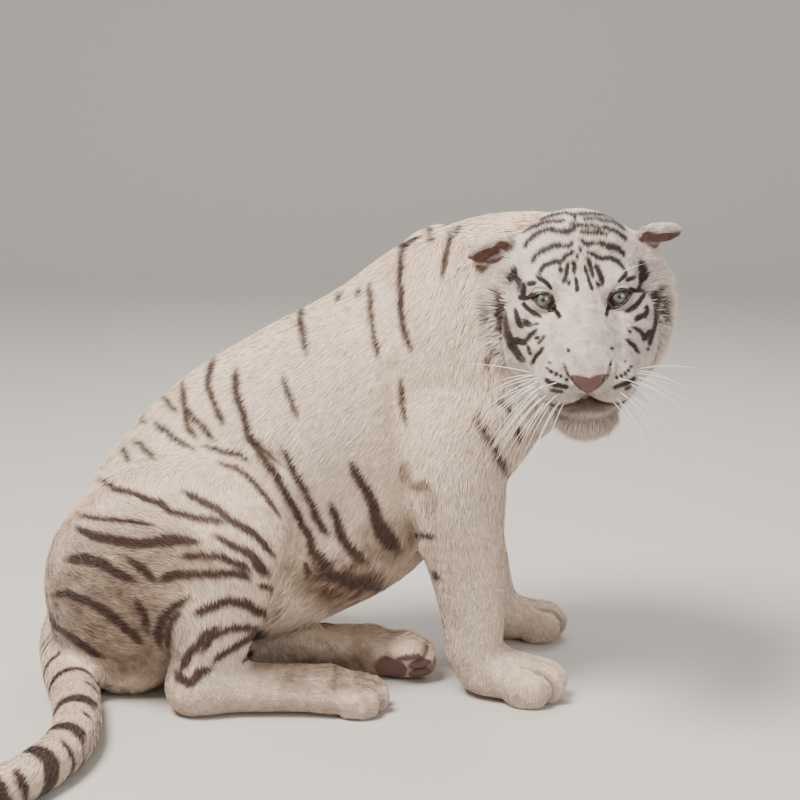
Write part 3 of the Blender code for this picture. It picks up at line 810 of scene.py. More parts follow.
# Face stripes: width at each end, then points right and up over the face, in centimetres, as seen
# along her gaze. The first rows are on the crown, the last on the muzzle.
FACE_STRIPES = [
    (0.15, 0.15, [(7.3, 12.6), (6.2, 12.95), (4.9, 13.3)]),
    (0.2, 0.26, [(5.6, 12.4), (4.6, 12.75), (2.9, 13.1), (1.35, 13.3), (0.3, 13)]),
    (0.26, 0.2, [(0.3, 13), (-1.4, 13), (-3.2, 13), (-6, 12.3), (-8, 11)]),
    (0.15, 0.15, [(0.2, 12.9), (0.2, 12.1)]),
    (0.36, 0.26, [(8.4, 10.6), (7.4, 11.05), (6, 11.5), (5.1, 11.9), (4, 12.05), (2.8, 12.1),
                  (1.6, 12.1)]),
    (0.24, 0.28, [(-1, 12.3), (-3.5, 12.1), (-5, 11.8), (-6.1, 11.5), (-7.1, 10.75), (-7.9, 10.2)]),
    (0.3, 0.5, [(8.2, 8.2), (7.9, 8.6), (7.3, 9.3), (6.5, 10), (5.6, 10.5), (4.6, 10.85),
                (3.9, 10.85)]),
    (0.5, 0.62, [(3.9, 10.85), (3.4, 10.6), (2.4, 10.4), (1.4, 10.5)]),
    (0.62, 0.34, [(1.4, 10.5), (0.6, 10.75), (0.1, 11.3), (-0.15, 11.7)]),
    (0.2, 0.2, [(1.1, 11.4), (0.55, 11.75), (0.4, 11.2)]),
    (0.32, 0.26, [(-0.2, 11.5), (-1, 11.2), (-2.2, 11.2), (-3.4, 10.9), (-3.7, 10.5)]),
    (0.38, 0.26, [(-0.3, 10.25), (-1.7, 10.2), (-3.3, 10.05), (-4.8, 9.7)]),
    (0.36, 0.46, [(-3.9, 11.1), (-5, 10.6), (-5.9, 10.15), (-6.8, 9.6), (-7.5, 9), (-7.9, 8.7)]),
    (0.3, 0.62, [(7.3, 5.7), (6.9, 6.6), (6.1, 7.3), (5.2, 7.7), (4.4, 8.05), (3.8, 8.3), (3, 8.4)]),
    (0.3, 0.22, [(3, 8.4), (2.4, 8.15), (1.9, 8.2)]),
    (0.3, 0.42, [(1.9, 8.2), (1.1, 8.45), (0.75, 8.9)]),
    (0.16, 0.16, [(-0.2, 9.1), (-0.9, 8.95)]),
    (0.5, 0.42, [(-0.6, 8.6), (-1.4, 8.35), (-2.2, 8.45)]),
    (0.22, 0.2, [(-2.2, 8.45), (-3.3, 8.3)]),
    (0.48, 0.78, [(-3, 8.6), (-4.2, 8.05), (-5.3, 7.7)]),
    (0.78, 0.4, [(-5.3, 7.7), (-6.2, 7.4), (-6.8, 6.85), (-7.3, 6.2)]),
    (0.3, 0.52, [(6.45, 4), (6, 4.8), (5.4, 5.3), (4.5, 5.7), (3.7, 5.85), (3.1, 5.75)]),
    (0.48, 0.25, [(3.1, 5.75), (2.7, 6), (2, 6.7), (1.3, 7)]),
    (0.35, 0.38, [(1.3, 7), (0.8, 7.5)]),
    (0.25, 0.42, [(-1.2, 7.15), (-2.2, 6.8), (-2.9, 6.3)]),
    (0.46, 0.52, [(-2.9, 6.3), (-3.8, 6), (-4.8, 6.1), (-5.5, 5.8)]),
    (0.52, 0.2, [(-5.5, 5.8), (-6.2, 5.25), (-6.8, 4.5), (-7.3, 3.4)]),
    (0.22, 0.22, [(-0.2, 8.1), (-0.3, 7.1)]),
    (0.2, 0.2, [(0.25, 7), (0.3, 6)]),
    (0.42, 0.46, [(3.1, 5.1), (3.05, 4.1)]),
    (0.32, 0.36, [(1.8, 5.7), (2.1, 4.5), (2.35, 3.4), (2.85, 2.4)]),
    (0.22, 0.22, [(1.85, 2.8), (2, 2)]),
    (0.42, 0.28, [(1.3, 5.7), (0.85, 5.5), (0.8, 4.8), (1, 3.8)]),
    (0.28, 0.3, [(0.8, 3.3), (0.6, 2.4), (0.6, 1.5), (0.8, 0.8)]),
    (0.52, 0.28, [(-1.2, 6.3), (-1.5, 5.7), (-1.8, 4.5), (-2.05, 3)]),
    (0.22, 0.22, [(-0.7, 5.2), (-1.2, 3.2), (-1.8, 1.1)]),
    (0.3, 0.3, [(-2.5, 2.4), (-2.9, 1.5)]),
    (0.46, 0.52, [(-2.5, 5.2), (-3, 4), (-3.35, 2.9)]),
    (0.4, 0.18, [(-3.35, 2.9), (-3.4, 1.7)]),
    (0.52, 0.22, [(6.9, 3.8), (6.3, 3.25), (5.5, 2.6), (5, 2), (4.7, 1.5)]),
    (0.36, 0.46, [(8.6, 2.5), (7.8, 2.65), (7.1, 2.8)]),
    (0.18, 0.52, [(-5.9, 2.2), (-6.5, 2.8), (-7.4, 3.5)]),
    (0.3, 0.38, [(-7.1, 2.4), (-8, 2.7), (-8.8, 2.95)]),
    (0.6, 0.98, [(9.9, 5.3), (10, 4.6), (10.2, 3.9)]),
    (0.98, 0.6, [(10.2, 3.9), (10.5, 3)]),
    (0.46, 0.38, [(9.7, 4.2), (9.3, 3.1), (9.05, 2), (9.1, 0.9)]),
    (0.38, 0.4, [(9.1, 0.9), (9.4, 0.4), (8.4, 0.4), (7.5, 1)]),
    (0.7, 1.15, [(-9.8, 5.5), (-10.1, 4.4), (-10.3, 3.5)]),
    (1.15, 0.5, [(-10.3, 3.5), (-9.8, 2.6), (-9.5, 1.9)]),
    (0.46, 0.4, [(-9.5, 1.9), (-9.4, 1.3), (-9.35, 0.8)]),
    (0.42, 0.18, [(-7.5, 1.1), (-8.6, 0.8), (-9.7, 0.75), (-10.3, 0.3), (-9.9, -0.2)]),
    (0.3, 0.52, [(9.1, -0.2), (9.1, -0.7), (8.4, -1.5), (7.6, -2.2)]),
    (0.52, 0.22, [(7.6, -2.2), (6.9, -2.6), (6.5, -3)]),
    (0.3, 0.48, [(10.4, -1.3), (10.3, -2.4), (10.15, -3.3)]),
    (0.48, 0.36, [(10.15, -3.3), (9.8, -4), (9.3, -4.5)]),
    (0.55, 0.6, [(9.3, -3.1), (8.8, -3.75), (8.2, -4.2)]),
    (0.16, 0.12, [(8.1, -4), (6.9, -3.9)]),
    (0.35, 0.48, [(7.3, -4.85), (8.3, -5.65), (8.9, -6.35), (9.4, -6.8)]),
    (0.6, 0.85, [(9.4, -6.8), (10.3, -6.5), (11, -6.7)]),
    (0.22, 0.2, [(8.9, -7.2), (8.6, -8.1), (8.5, -9)]),
    (0.32, 0.26, [(7.8, -6.3), (7, -6)]),
    (0.18, 0.18, [(7.4, -7.3), (6.7, -6.5), (6.1, -5.8)]),
    (0.3, 0.38, [(6.5, -7.6), (6.95, -8.35), (7.5, -8.8)]),
    (0.38, 0.2, [(7.5, -8.8), (7.95, -9.4), (8.4, -10.5)]),
    (0.58, 0.62, [(12.1, 1.8), (12.1, 0.4), (12.15, -1.4), (12.15, -2.9)]),
    (0.62, 0.9, [(12.15, -2.9), (11.95, -4.4), (11.55, -5.8), (11.1, -7)]),
    (0.9, 0.44, [(11.1, -7), (10.6, -8.1), (10, -9.1), (9.3, -9.9)]),
    (0.8, 0.98, [(14.1, -0.9), (14.35, -2), (14.2, -3)]),
    (0.98, 0.6, [(14.2, -3), (14.5, -4), (14.8, -4.6)]),
    (0.8, 0.72, [(14.3, -6.7), (14.1, -7.9), (14.5, -8.6)]),
    (0.32, 0.3, [(12.8, -8.2), (12.6, -8.8)]),
    (0.5, 0.62, [(12.9, -9.9), (12.7, -10.6)]),
    (0.3, 0.52, [(-9.9, -0.2), (-9.5, -0.6), (-8.9, -1.4), (-8, -2.2)]),
    (0.52, 0.26, [(-8, -2.2), (-7.3, -2.55), (-6.8, -2.6)]),
    (0.26, 0.58, [(-10.4, -1.6), (-10.4, -2.6), (-9.9, -3.2)]),
    (0.6, 0.5, [(-9.9, -3.2), (-9.2, -3.5), (-8.6, -3.75)]),
    (0.36, 0.22, [(-8.6, -3.75), (-8.45, -4.2)]),
    (0.2, 0.2, [(-7.1, -5.6), (-7.8, -6)]),
    (0.3, 0.48, [(-7.8, -5.1), (-8.6, -5.4), (-9.3, -5.9), (-9.6, -6.7)]),
    (0.48, 0.3, [(-9.6, -6.7), (-9.6, -7.4)]),
    (0.42, 0.42, [(-9.7, -7.2), (-10, -6.8), (-10.5, -6.05), (-10.8, -5.5)]),
    (0.62, 0.56, [(-12.3, 1.7), (-12.4, 0.8), (-12.2, 0)]),
    (0.95, 0.9, [(-11.2, -0.1), (-11.8, -0.2)]),
    (0.52, 0.38, [(-12.2, 0), (-12, -1.1), (-11.9, -2.9), (-11.85, -4.3)]),
    (0.38, 0.52, [(-11.85, -4.3), (-11.5, -5.5), (-11.1, -6.4), (-10.8, -7.3), (-10.7, -8.1)]),
    (0.42, 0.42, [(-10.5, -8.4), (-10.5, -8.8)]),
    (0.58, 0.62, [(-13.3, -0.4), (-13.3, -1.6), (-13.2, -2.6)]),
    (0.62, 0.34, [(-13.2, -2.6), (-13.2, -3.4), (-13.35, -4.1), (-13.7, -4.8)]),
    (0.26, 0.22, [(-13.5, 1.2), (-13.6, 0.8)]),
    (0.26, 0.38, [(-6.6, -6.9), (-7.5, -7.75), (-7.95, -8.15)]),
    (0.38, 0.26, [(-7.95, -8.15), (-8.4, -8.8), (-8.8, -9.3)]),
    (0.26, 0.26, [(3, -8), (2.8, -8.6)]),
    (0.42, 0.4, [(-4.1, -8.2), (-4.2, -8.5)]),
    (0.3, 0.3, [(5.7, -10.2), (5.9, -10.3)]),
    (0.42, 0.42, [(6.2, -11.1), (6.3, -11.3)]),
    (0.3, 0.3, [(-6.2, -10.5), (-6.4, -10.55)]),
    (0.42, 0.42, [(-7.1, -11.3), (-7.15, -11.5)]),
    (0.3, 0.34, [(6, -11.4), (5.55, -11.9)]),
    (0.38, 0.38, [(5.3, -12), (4.8, -12.25)]),
    (0.36, 0.36, [(4.5, -12.4), (4.1, -12.65)]),
    (0.26, 0.24, [(3.6, -12.9), (3.3, -13.25)]),
    (0.36, 0.36, [(-6.8, -11.8), (-6.45, -12.15)]),
    (0.38, 0.38, [(-6.3, -12.35), (-5.9, -12.6)]),
    (0.36, 0.36, [(-5.6, -12.7), (-5.2, -12.95)]),
    (0.26, 0.24, [(-4.9, -13), (-4.5, -13.2)]),
    (0.3, 0.52, [(6.8, -12.8), (5.9, -13.5), (5.1, -13.9)]),
    (0.52, 0.3, [(5.1, -13.9), (4.1, -14.15), (3.2, -14.35)]),
    (0.3, 0.48, [(-7.8, -13.15), (-6.85, -13.75), (-6, -14.1)]),
    (0.48, 0.3, [(-6, -14.1), (-5.1, -14.4), (-4, -14.8)]),
    (0.26, 0.2, [(6.1, -14.6), (5, -14.9), (4, -15.1)]),
    (0.24, 0.2, [(-7, -14.6), (-5.8, -15.1)]),
]

# Body stripes: width at each end, then points forward and up, in metres, on the upright plane
# that touches her flank. Seen from the camera's place they fall where they lie on her.
TRUNK_PLANE = -0.17
TRUNK_STRIPES = [
    (0.006, 0.007, [(0.04, 0.83), (0.005, 0.8), (0, 0.75), (0, 0.7), (0.012, 0.65), (0.02, 0.63)]),
    (0.005, 0.004, [(0, 0.585), (0.005, 0.53), (0.012, 0.5)]),
    (0.005, 0.007, [(-0.047, 0.745), (-0.05, 0.7), (-0.042, 0.65), (-0.035, 0.62)]),
    (0.003, 0.003, [(-0.065, 0.735), (-0.07, 0.72)]),
    (0.008, 0.005, [(-0.165, 0.705), (-0.165, 0.68), (-0.16, 0.65), (-0.155, 0.62)]),
    (0.003, 0.003, [(-0.1, 0.725), (-0.105, 0.71)]),
    (0.005, 0.006, [(-0.195, 0.59), (-0.19, 0.57), (-0.18, 0.54), (-0.17, 0.515)]),
    (0.009, 0.01, [(-0.275, 0.595), (-0.272, 0.56), (-0.265, 0.52), (-0.255, 0.485), (-0.235, 0.45)]),
    (0.01, 0.012, [(-0.235, 0.45), (-0.21, 0.41), (-0.19, 0.375), (-0.17, 0.34), (-0.155, 0.31)]),
    (0.012, 0.022, [(-0.155, 0.31), (-0.15, 0.28), (-0.13, 0.26), (-0.11, 0.24), (-0.07, 0.22)]),
    (0.004, 0.004, [(-0.265, 0.51), (-0.245, 0.48), (-0.225, 0.455), (-0.205, 0.43)]),
    (0.006, 0.009, [(-0.2, 0.465), (-0.185, 0.44), (-0.17, 0.41), (-0.155, 0.375), (-0.14, 0.34),
                    (-0.125, 0.31)]),
    (0.004, 0.006, [(-0.185, 0.445), (-0.16, 0.385), (-0.145, 0.345), (-0.12, 0.31)]),
    (0.01, 0.018, [(-0.12, 0.37), (-0.11, 0.34), (-0.1, 0.31), (-0.085, 0.285), (-0.06, 0.26)]),
    (0.008, 0.012, [(-0.085, 0.44), (-0.075, 0.42), (-0.055, 0.385)]),
    (0.012, 0.028, [(-0.055, 0.385), (-0.045, 0.36), (-0.035, 0.33), (-0.02, 0.3), (-0.005, 0.285)]),
    (0.01, 0.014, [(-0.15, 0.235), (-0.11, 0.235), (-0.06, 0.23), (-0.03, 0.215)]),
    (0.008, 0.008, [(-0.165, 0.26), (-0.155, 0.235)]),
    (0.005, 0.003, [(0.05, 0.835), (0.052, 0.81)]),
    (0.004, 0.003, [(0.085, 0.835), (0.08, 0.81), (0.075, 0.78), (0.07, 0.75)]),
    (0.004, 0.003, [(0.1, 0.84), (0.09, 0.82)]),
    (0.008, 0.006, [(0.145, 0.72), (0.148, 0.68), (0.155, 0.66)]),
    (0.007, 0.005, [(0.145, 0.62), (0.15, 0.6)]),
    (0.007, 0.009, [(0.125, 0.52), (0.135, 0.5), (0.15, 0.475), (0.165, 0.45), (0.18, 0.42)]),
    (0.005, 0.005, [(0.165, 0.55), (0.185, 0.52)]),
    (0.005, 0.004, [(0.195, 0.5), (0.2, 0.475)]),
    (0.006, 0.004, [(0.025, 0.312), (0.06, 0.308)]),
    (0.008, 0.006, [(0.055, 0.245), (0.065, 0.232)]),
]
HAUNCH_PLANE = -0.22
HAUNCH_STRIPES = [
    (0.007, 0.008, [(-0.305, 0.63), (-0.312, 0.605), (-0.315, 0.583), (-0.308, 0.555),
                    (-0.298, 0.53), (-0.29, 0.515)]),
    (0.006, 0.007, [(-0.357, 0.587), (-0.355, 0.565), (-0.355, 0.54), (-0.35, 0.518), (-0.335, 0.49)]),
    (0.006, 0.005, [(-0.357, 0.545), (-0.33, 0.518), (-0.303, 0.484)]),
    (0.005, 0.005, [(-0.388, 0.565), (-0.368, 0.532)]),
    (0.007, 0.006, [(-0.405, 0.523), (-0.375, 0.495), (-0.34, 0.47)]),
    (0.005, 0.004, [(-0.426, 0.526), (-0.418, 0.518)]),
    (0.006, 0.005, [(-0.44, 0.488), (-0.405, 0.456)]),
    (0.006, 0.005, [(-0.458, 0.477), (-0.447, 0.449)]),
    (0.007, 0.008, [(-0.5, 0.423), (-0.475, 0.405), (-0.445, 0.398), (-0.4, 0.382), (-0.382, 0.365)]),
    (0.008, 0.009, [(-0.382, 0.365), (-0.345, 0.357), (-0.31, 0.352), (-0.29, 0.345)]),
    (0.008, 0.011, [(-0.362, 0.402), (-0.335, 0.388), (-0.305, 0.37), (-0.283, 0.35),
                    (-0.25, 0.33), (-0.21, 0.29)]),
    (0.006, 0.015, [(-0.315, 0.325), (-0.287, 0.31), (-0.26, 0.297), (-0.24, 0.275), (-0.22, 0.255)]),
    (0.005, 0.005, [(-0.33, 0.478), (-0.3, 0.47), (-0.265, 0.463), (-0.25, 0.45)]),
    (0.005, 0.006, [(-0.3, 0.452), (-0.27, 0.438), (-0.245, 0.415), (-0.222, 0.387), (-0.2, 0.355)]),
    (0.005, 0.004, [(-0.535, 0.36), (-0.495, 0.353), (-0.45, 0.35), (-0.41, 0.345)]),
    (0.01, 0.015, [(-0.54, 0.34), (-0.515, 0.326), (-0.48, 0.318), (-0.44, 0.312), (-0.4, 0.315)]),
    (0.018, 0.01, [(-0.4, 0.315), (-0.37, 0.318), (-0.335, 0.313)]),
    (0.01, 0.011, [(-0.37, 0.29), (-0.33, 0.288), (-0.3, 0.287), (-0.27, 0.275), (-0.25, 0.262)]),
    (0.012, 0.013, [(-0.405, 0.247), (-0.375, 0.257), (-0.335, 0.257), (-0.3, 0.26),
                    (-0.27, 0.257), (-0.25, 0.25)]),
    (0.008, 0.007, [(-0.238, 0.24), (-0.215, 0.23)]),
    (0.012, 0.015, [(-0.345, 0.185), (-0.315, 0.2), (-0.29, 0.21), (-0.255, 0.205), (-0.225, 0.18)]),
    (0.012, 0.012, [(-0.355, 0.218), (-0.38, 0.2), (-0.4, 0.18), (-0.41, 0.155), (-0.405, 0.13)]),
    (0.007, 0.008, [(-0.368, 0.192), (-0.385, 0.173), (-0.395, 0.15), (-0.39, 0.125)]),
    (0.009, 0.01, [(-0.305, 0.165), (-0.33, 0.15), (-0.345, 0.128), (-0.362, 0.105), (-0.375, 0.085)]),
    (0.009, 0.01, [(-0.23, 0.155), (-0.255, 0.162), (-0.29, 0.16), (-0.32, 0.145), (-0.338, 0.118)]),
    (0.009, 0.009, [(-0.23, 0.152), (-0.25, 0.148), (-0.275, 0.132), (-0.3, 0.115), (-0.32, 0.1)]),
    (0.004, 0.004, [(-0.25, 0.12), (-0.27, 0.1)]),
    (0.016, 0.016, [(-0.32, 0.09), (-0.343, 0.08), (-0.355, 0.063), (-0.375, 0.073), (-0.38, 0.09)]),
    (0.016, 0.015, [(-0.56, 0.285), (-0.525, 0.285), (-0.495, 0.275), (-0.47, 0.258), (-0.445, 0.247)]),
    (0.01, 0.012, [(-0.455, 0.287), (-0.432, 0.267), (-0.41, 0.243)]),
    (0.01, 0.012, [(-0.585, 0.22), (-0.56, 0.225), (-0.54, 0.215), (-0.505, 0.2), (-0.477, 0.175)]),
    (0.012, 0.01, [(-0.477, 0.175), (-0.45, 0.15), (-0.435, 0.135)]),
    (0.009, 0.01, [(-0.447, 0.215), (-0.433, 0.188), (-0.425, 0.152)]),
    (0.009, 0.01, [(-0.595, 0.19), (-0.585, 0.165), (-0.555, 0.145), (-0.53, 0.125), (-0.505, 0.11)]),
]

# Hairs from beside a stripe lie over its edges, so each is drawn wider: by this many centimetres
# and times on the face, by this many metres on the body.
FACE_SPREAD = 0.35
FACE_GROWTH = 1.25
BODY_SPREAD = 0.0055


def nearest_on_path(points, path):
    """Distance to a broken line, how far along it that is, the way from there, and its length."""
    lengths = length(np.diff(path, axis=0))
    done = np.concatenate([[0], np.cumsum(lengths)])
    best = np.full(len(points), FAR, F32)
    along = np.zeros(len(points), F32)
    away = np.zeros_like(points)
    for index, (a, b) in enumerate(zip(path, path[1:])):
        t, off = from_segment(points, a, b)
        gap = length(off)
        closer = gap < best
        best = np.where(closer, gap, best)
        along = np.where(closer, done[index] + t * lengths[index], along)
        away[closer] = off[closer]
    return best, along, away, done[-1]


def mark(flat, start_width, end_width, path, soft, run_out, loose):
    """How strongly a stripe covers each point. Its loose ends run out to a point."""
    path = np.array(path, F32)
    strength = np.zeros(len(flat), F32)
    margin = max(start_width, end_width) + 2 * soft
    inside = ((flat > path.min(0) - margin) & (flat < path.max(0) + margin)).all(1)
    near = np.flatnonzero(inside)
    if not len(near):
        return strength
    best, along, _, whole = nearest_on_path(flat[near], path)
    run_out = min(run_out, 0.25 * whole)
    taper = np.ones(len(near), F32)
    if loose[0]:
        taper *= ramp(along, -0.3 * run_out, run_out)
    if loose[1]:
        taper *= ramp(whole - along, -0.3 * run_out, run_out)
    half = 0.5 * (start_width + (end_width - start_width) * along / whole) * (0.45 + 0.55 * taper)
    strength[near] = (1 - ramp(best - half, -soft, soft)) * (0.7 + 0.3 * ramp(taper, 0, 0.6))
    return strength


def with_loose_ends(table):
    """Each stripe with which of its ends no other stripe carries on from."""
    ends = [point for _, _, path in table for point in (path[0], path[-1])]
    return [(*row, tuple(ends.count(point) == 1 for point in (row[2][0], row[2][-1]))) for row in table]


def marked(flat, table, spread, growth, soft, run_out):
    """All the stripes of a table together."""
    total = np.zeros(len(flat), F32)
    for start_width, end_width, path, loose in with_loose_ends(table):
        widths = (spread + growth * start_width, spread + growth * end_width)
        total = np.maximum(total, mark(flat, *widths, path, soft, run_out, loose))
    return total


def face_view(local):
    """Points seen along her gaze from where she looks: right and up, in metres."""
    nearer = 1 / (1 - local[:, 1] / 2.88)
    across = (local[:, 0] - GAZE[0] * local[:, 1]) * nearer
    upward = (GAZE[1] * local[:, 2] - GAZE[2] * local[:, 1]) * nearer
    return np.column_stack([across, upward]).astype(F32)


def side_view(points, plane):
    """Points moved along sight lines onto an upright plane by her flank; her left side is mirrored."""
    nearer = (plane - VIEW_POINT[1]) / (-np.abs(points[:, 1]) - VIEW_POINT[1])
    forward = points[:, 0] * nearer
    upward = VIEW_POINT[2] + (points[:, 2] - VIEW_POINT[2]) * nearer
    return np.column_stack([forward, upward]).astype(F32)


# Rings of the tail: how far along it each lies, and how wide it is, in metres.
TAIL_RINGS = [
    (0.132, 0.007),
    (0.15, 0.006),
    (0.215, 0.016),
    (0.29, 0.022),
    (0.425, 0.03),
    (0.54, 0.028),
    (0.632, 0.034),
    (0.725, 0.044),
    (0.785, 0.018),
    (0.84, 0.038),
    (0.915, 0.05),
]
# Broken rings that cross only the side away from her body.
TAIL_DASHES = [(0.255, 0.01), (0.35, 0.012), (0.475, 0.014), (0.585, 0.012), (0.68, 0.014)]


def ring_at(wobble, place, wide):
    return 1 - ramp(np.abs(wobble - place) - wide / 2, -0.003, 0.003)


def tail_rings(points):
    """Rings around the tail, wider towards its dark tip."""
    best, along, away, _ = nearest_on_path(points, smooth_rows(TAIL, 4)[:, :3])
    outer = away[:, 0] / np.maximum(best, 1e-6)
    wobble = along + 0.01 * noise(points, 0.06, 11) + 0.0025 * noise(points, 0.012, 12)
    rings = np.zeros(len(points), F32)
    for place, wide in TAIL_RINGS:
        rings = np.maximum(rings, ring_at(wobble, place, wide))
    for place, wide in TAIL_DASHES:
        rings = np.maximum(rings, ring_at(wobble, place, wide) * ramp(outer, 0.25, 0.5))
    return rings * (1 - ramp(best, 0.055, 0.075))


def nose_leather(local):
    """The bare leather of the nose: broad across the nostrils, pointed below."""
    side = np.abs(local[:, 0])
    drop = np.clip((-0.09 - local[:, 2]) / 0.029, 0, 1)
    half = 0.025 * (1 - drop**1.5) + 0.002
    top = NOSE_TOP - 0.003 * bump_at(side, 0.01)
    inside = ramp(half - side, -0.001, 0.001) * ramp(top - local[:, 2], -0.001, 0.001)
    above = ramp(local[:, 2], NOSE_TIP - 0.0015, NOSE_TIP + 0.0015)
    return inside * above * ramp(local[:, 1], 0.112, 0.12)


def sole_pads(points):
    """The bare pads on the sole of the hind foot she shows: four toes and the broad one behind."""
    local = in_paw(points, "hind_left")
    size, reach = PAWS["hind_left"][3:]
    pads = np.full(len(points), FAR, F32)
    toe_radii = single(0.0125, 0.0215, 0.028)
    broad_radii = single(0.034, 0.03, 0.03)
    for right, forward, _ in TOES:
        toe = local - single(0.92 * right * size, (forward + 0.08) * reach, -0.043)
        pads = np.minimum(pads, length(toe / toe_radii))
    broad = local - single(0, 0.53 * reach, -0.046)
    pads = np.minimum(pads, length(broad / broad_radii))
    return 1 - ramp(pads, 0.92, 1.08)


def toe_gaps(points, half_width):
    """How near each point is to the gaps between the toes, over the front of each paw."""
    share = np.zeros(len(points), F32)
    for name in PAWS:
        local = in_paw(points, name)
        size, reach = PAWS[name][3:]
        over_front = ramp(local[:, 1], 0.62 * reach, 0.86 * reach) * (local[:, 1] < 1.5 * reach)
        over_front *= (np.abs(local[:, 2]) < 0.075) * (np.abs(local[:, 0]) < 0.07)
        for between in (-0.0265, 0.0, 0.0265):
            share = np.maximum(share, bump_at(local[:, 0] - between * size, half_width) * over_front)
    return share


def claw_slits(points):
    """Short dark slits low on the toes, where the claws are drawn in."""
    share = np.zeros(len(points), F32)
    for name in PAWS:
        local = in_paw(points, name)
        size, reach = PAWS[name][3:]
        for right, forward, lift in TOES:
            ahead = ramp(local[:, 1] - forward * reach, 0.018, 0.027) * (local[:, 1] < 1.5 * reach)
            low = bump_at(local[:, 2] - lift * size + 0.006, 0.012)
            share = np.maximum(share, bump_at(local[:, 0] - right * size, 0.0016) * ahead * low)
    return share


# Soiled fur and painted shade: middle and radii, forward and up as her flank is seen, and how strong.
SOILED_AND_SHADED = [
    ((-0.5, 0.205), (0.13, 0.12), 0.66),  # rump
    ((-0.43, 0.285), (0.15, 0.075), 0.55),
    ((-0.36, 0.34), (0.17, 0.07), 0.22),
    ((-0.44, 0.12), (0.09, 0.07), 0.6),
    # The next two are painted shade, where the belly folds and behind the elbow.
    ((-0.095, 0.245), (0.095, 0.055), 0.85),  # belly fold
    ((-0.03, 0.31), (0.05, 0.06), 0.6),  # behind the elbow
    ((0.01, 0.432), (0.014, 0.026), 0.65),  # elbow
    ((0.034, 0.41), (0.024, 0.014), 0.6),
    ((0.052, 0.38), (0.014, 0.034), 0.45),
    ((0.02, 0.335), (0.016, 0.04), 0.45),
    ((-0.12, 0.08), (0.14, 0.045), 0.65),  # folded hind foot
    ((0.07, 0.23), (0.07, 0.15), 0.16),  # foreleg
    ((0.09, 0.06), (0.12, 0.06), 0.22),  # forepaw
]


def soiling_and_fold_shade(points):
    """Brown where her white fur has dust and earth, and painted shade in the belly fold and by the
    elbow.
    """
    flat = side_view(points, HAUNCH_PLANE)
    share = 0.3 * (1 - ramp(points[:, 2], 0.01, 0.07))
    for middle, radii, strength in SOILED_AND_SHADED:
        out = length((flat - np.array(middle, F32)) / np.array(radii, F32))
        share = np.maximum(share, strength * (1 - ramp(out, 0.45, 1.2)))
    mottle = 1 + 0.35 * noise(points, 0.022, 13) + 0.25 * noise(points, 0.007, 15)
    return np.clip(share * mottle, 0, 1)


def flat_noise(points, size, seed):
    return np.column_stack([noise(points, size, seed), noise(points, size, seed + 1)])


def face_stripes(points, local, normals):
    toward = normals @ HEAD_AXES.astype(F32) @ GAZE.astype(F32)
    face = face_view(local) + flat_noise(points, 0.01, 3) * F32(0.0008)
    stripes = marked(100 * face, FACE_STRIPES, FACE_SPREAD, FACE_GROWTH, 0.1, 0.35)
    return stripes * (head_share(local) * ramp(toward, -0.15, 0.15))


def body_stripes(points, near_head, on_tail):
    """Stripes of both flanks and rings of the tail. The flank not shown has them shifted and bent."""
    left = ramp(points[:, 1], 0.02, 0.1)
    shift = flat_noise(points, 0.16, 5) * (0.022 * left)[:, None]
    warp = flat_noise(points, 0.03, 7) * F32(0.003)
    fine = flat_noise(points, 0.008, 9) * F32(0.0012)
    stripes = np.zeros(len(points), F32)
    for plane, table in ((TRUNK_PLANE, TRUNK_STRIPES), (HAUNCH_PLANE, HAUNCH_STRIPES)):
        flat = (side_view(points, plane) + shift + warp + fine).astype(F32)
        stripes = np.maximum(stripes, marked(flat, table, BODY_SPREAD, 1, 0.0034, 0.02))
    breast = ramp(points[:, 0], 0.13, 0.19) * (1 - ramp(np.abs(points[:, 1]), 0.03, 0.08))
    return np.where(on_tail, tail_rings(points), stripes) * (1 - 0.9 * near_head) * (1 - breast)


def eye_rims(local):
    """The dark edges of the lids and the tear grooves."""
    outward, up, forward = eye_plane(local)
    lid_edge = 0.0034 + 0.002 * ramp(up, 0.0, 0.008)
    rim = (1 - ramp(lid_gap(outward, up) - lid_edge, 0, 0.0016)) * ramp(forward, 0.002, 0.006)
    flat_eye = np.column_stack([outward, up]).astype(F32)
    tear = 1 - ramp(path_distance(flat_eye, TEAR_GROOVE), 0.003, 0.0054)
    tear = tear * ramp(forward, -0.004, 0.002)
    return np.maximum(rim, tear) * (length(local - single(0, 0.02, 0)) < 0.1)


def mouth_marks(local, near_head):
    """Dark lip and nose rims, painted shade in the nostrils, and brown stain about the mouth and
    bridge.
    """
    flat = np.column_stack([np.abs(local[:, 0]), local[:, 2]]).astype(F32)
    in_front = ramp(local[:, 1], 0.045, 0.06) * near_head
    gape = path_distance(flat, MOUTH_LINE)
    below = ramp(-flat[:, 1], 0.133, 0.139) * (1 - ramp(flat[:, 0], 0.036, 0.052))
    lips = (1 - ramp(gape - 0.003 * below, 0.0014, 0.005)) * in_front * (1 - 0.35 * below)
    split = (1 - ramp(path_distance(flat, PHILTRUM), 0.001, 0.0022)) * in_front
    # The nostrils are painted dark: painted shade in their hollows.
    nostril_shade = (1 - ramp(path_distance(flat, NOSTRIL), 0.0014, 0.0034)) * ramp(local[:, 1], 0.105, 0.115)
    edge = 0.8 * (1 - ramp(path_distance(flat, LEATHER_EDGE), 0.0008, 0.0028)) * in_front
    stain = 0.66 * bump_at(gape - 0.007, 0.012) * ramp(-flat[:, 1], 0.132, 0.142) * in_front
    stain = np.maximum(stain, 0.38 * chin_share(local))
    bridge = (1 - ramp(flat[:, 0], 0.018, 0.034)) * ramp(local[:, 2], -0.09, -0.07)
    stain += 0.13 * ramp(local[:, 1], 0.03, 0.08) * bridge
    stain += 0.12 * ramp(-local[:, 2], 0.075, 0.11) * in_front * (1 - chin_share(local))
    return np.maximum.reduce([0.68 * lips, 0.7 * split, 0.9 * nostril_shade, edge]), stain


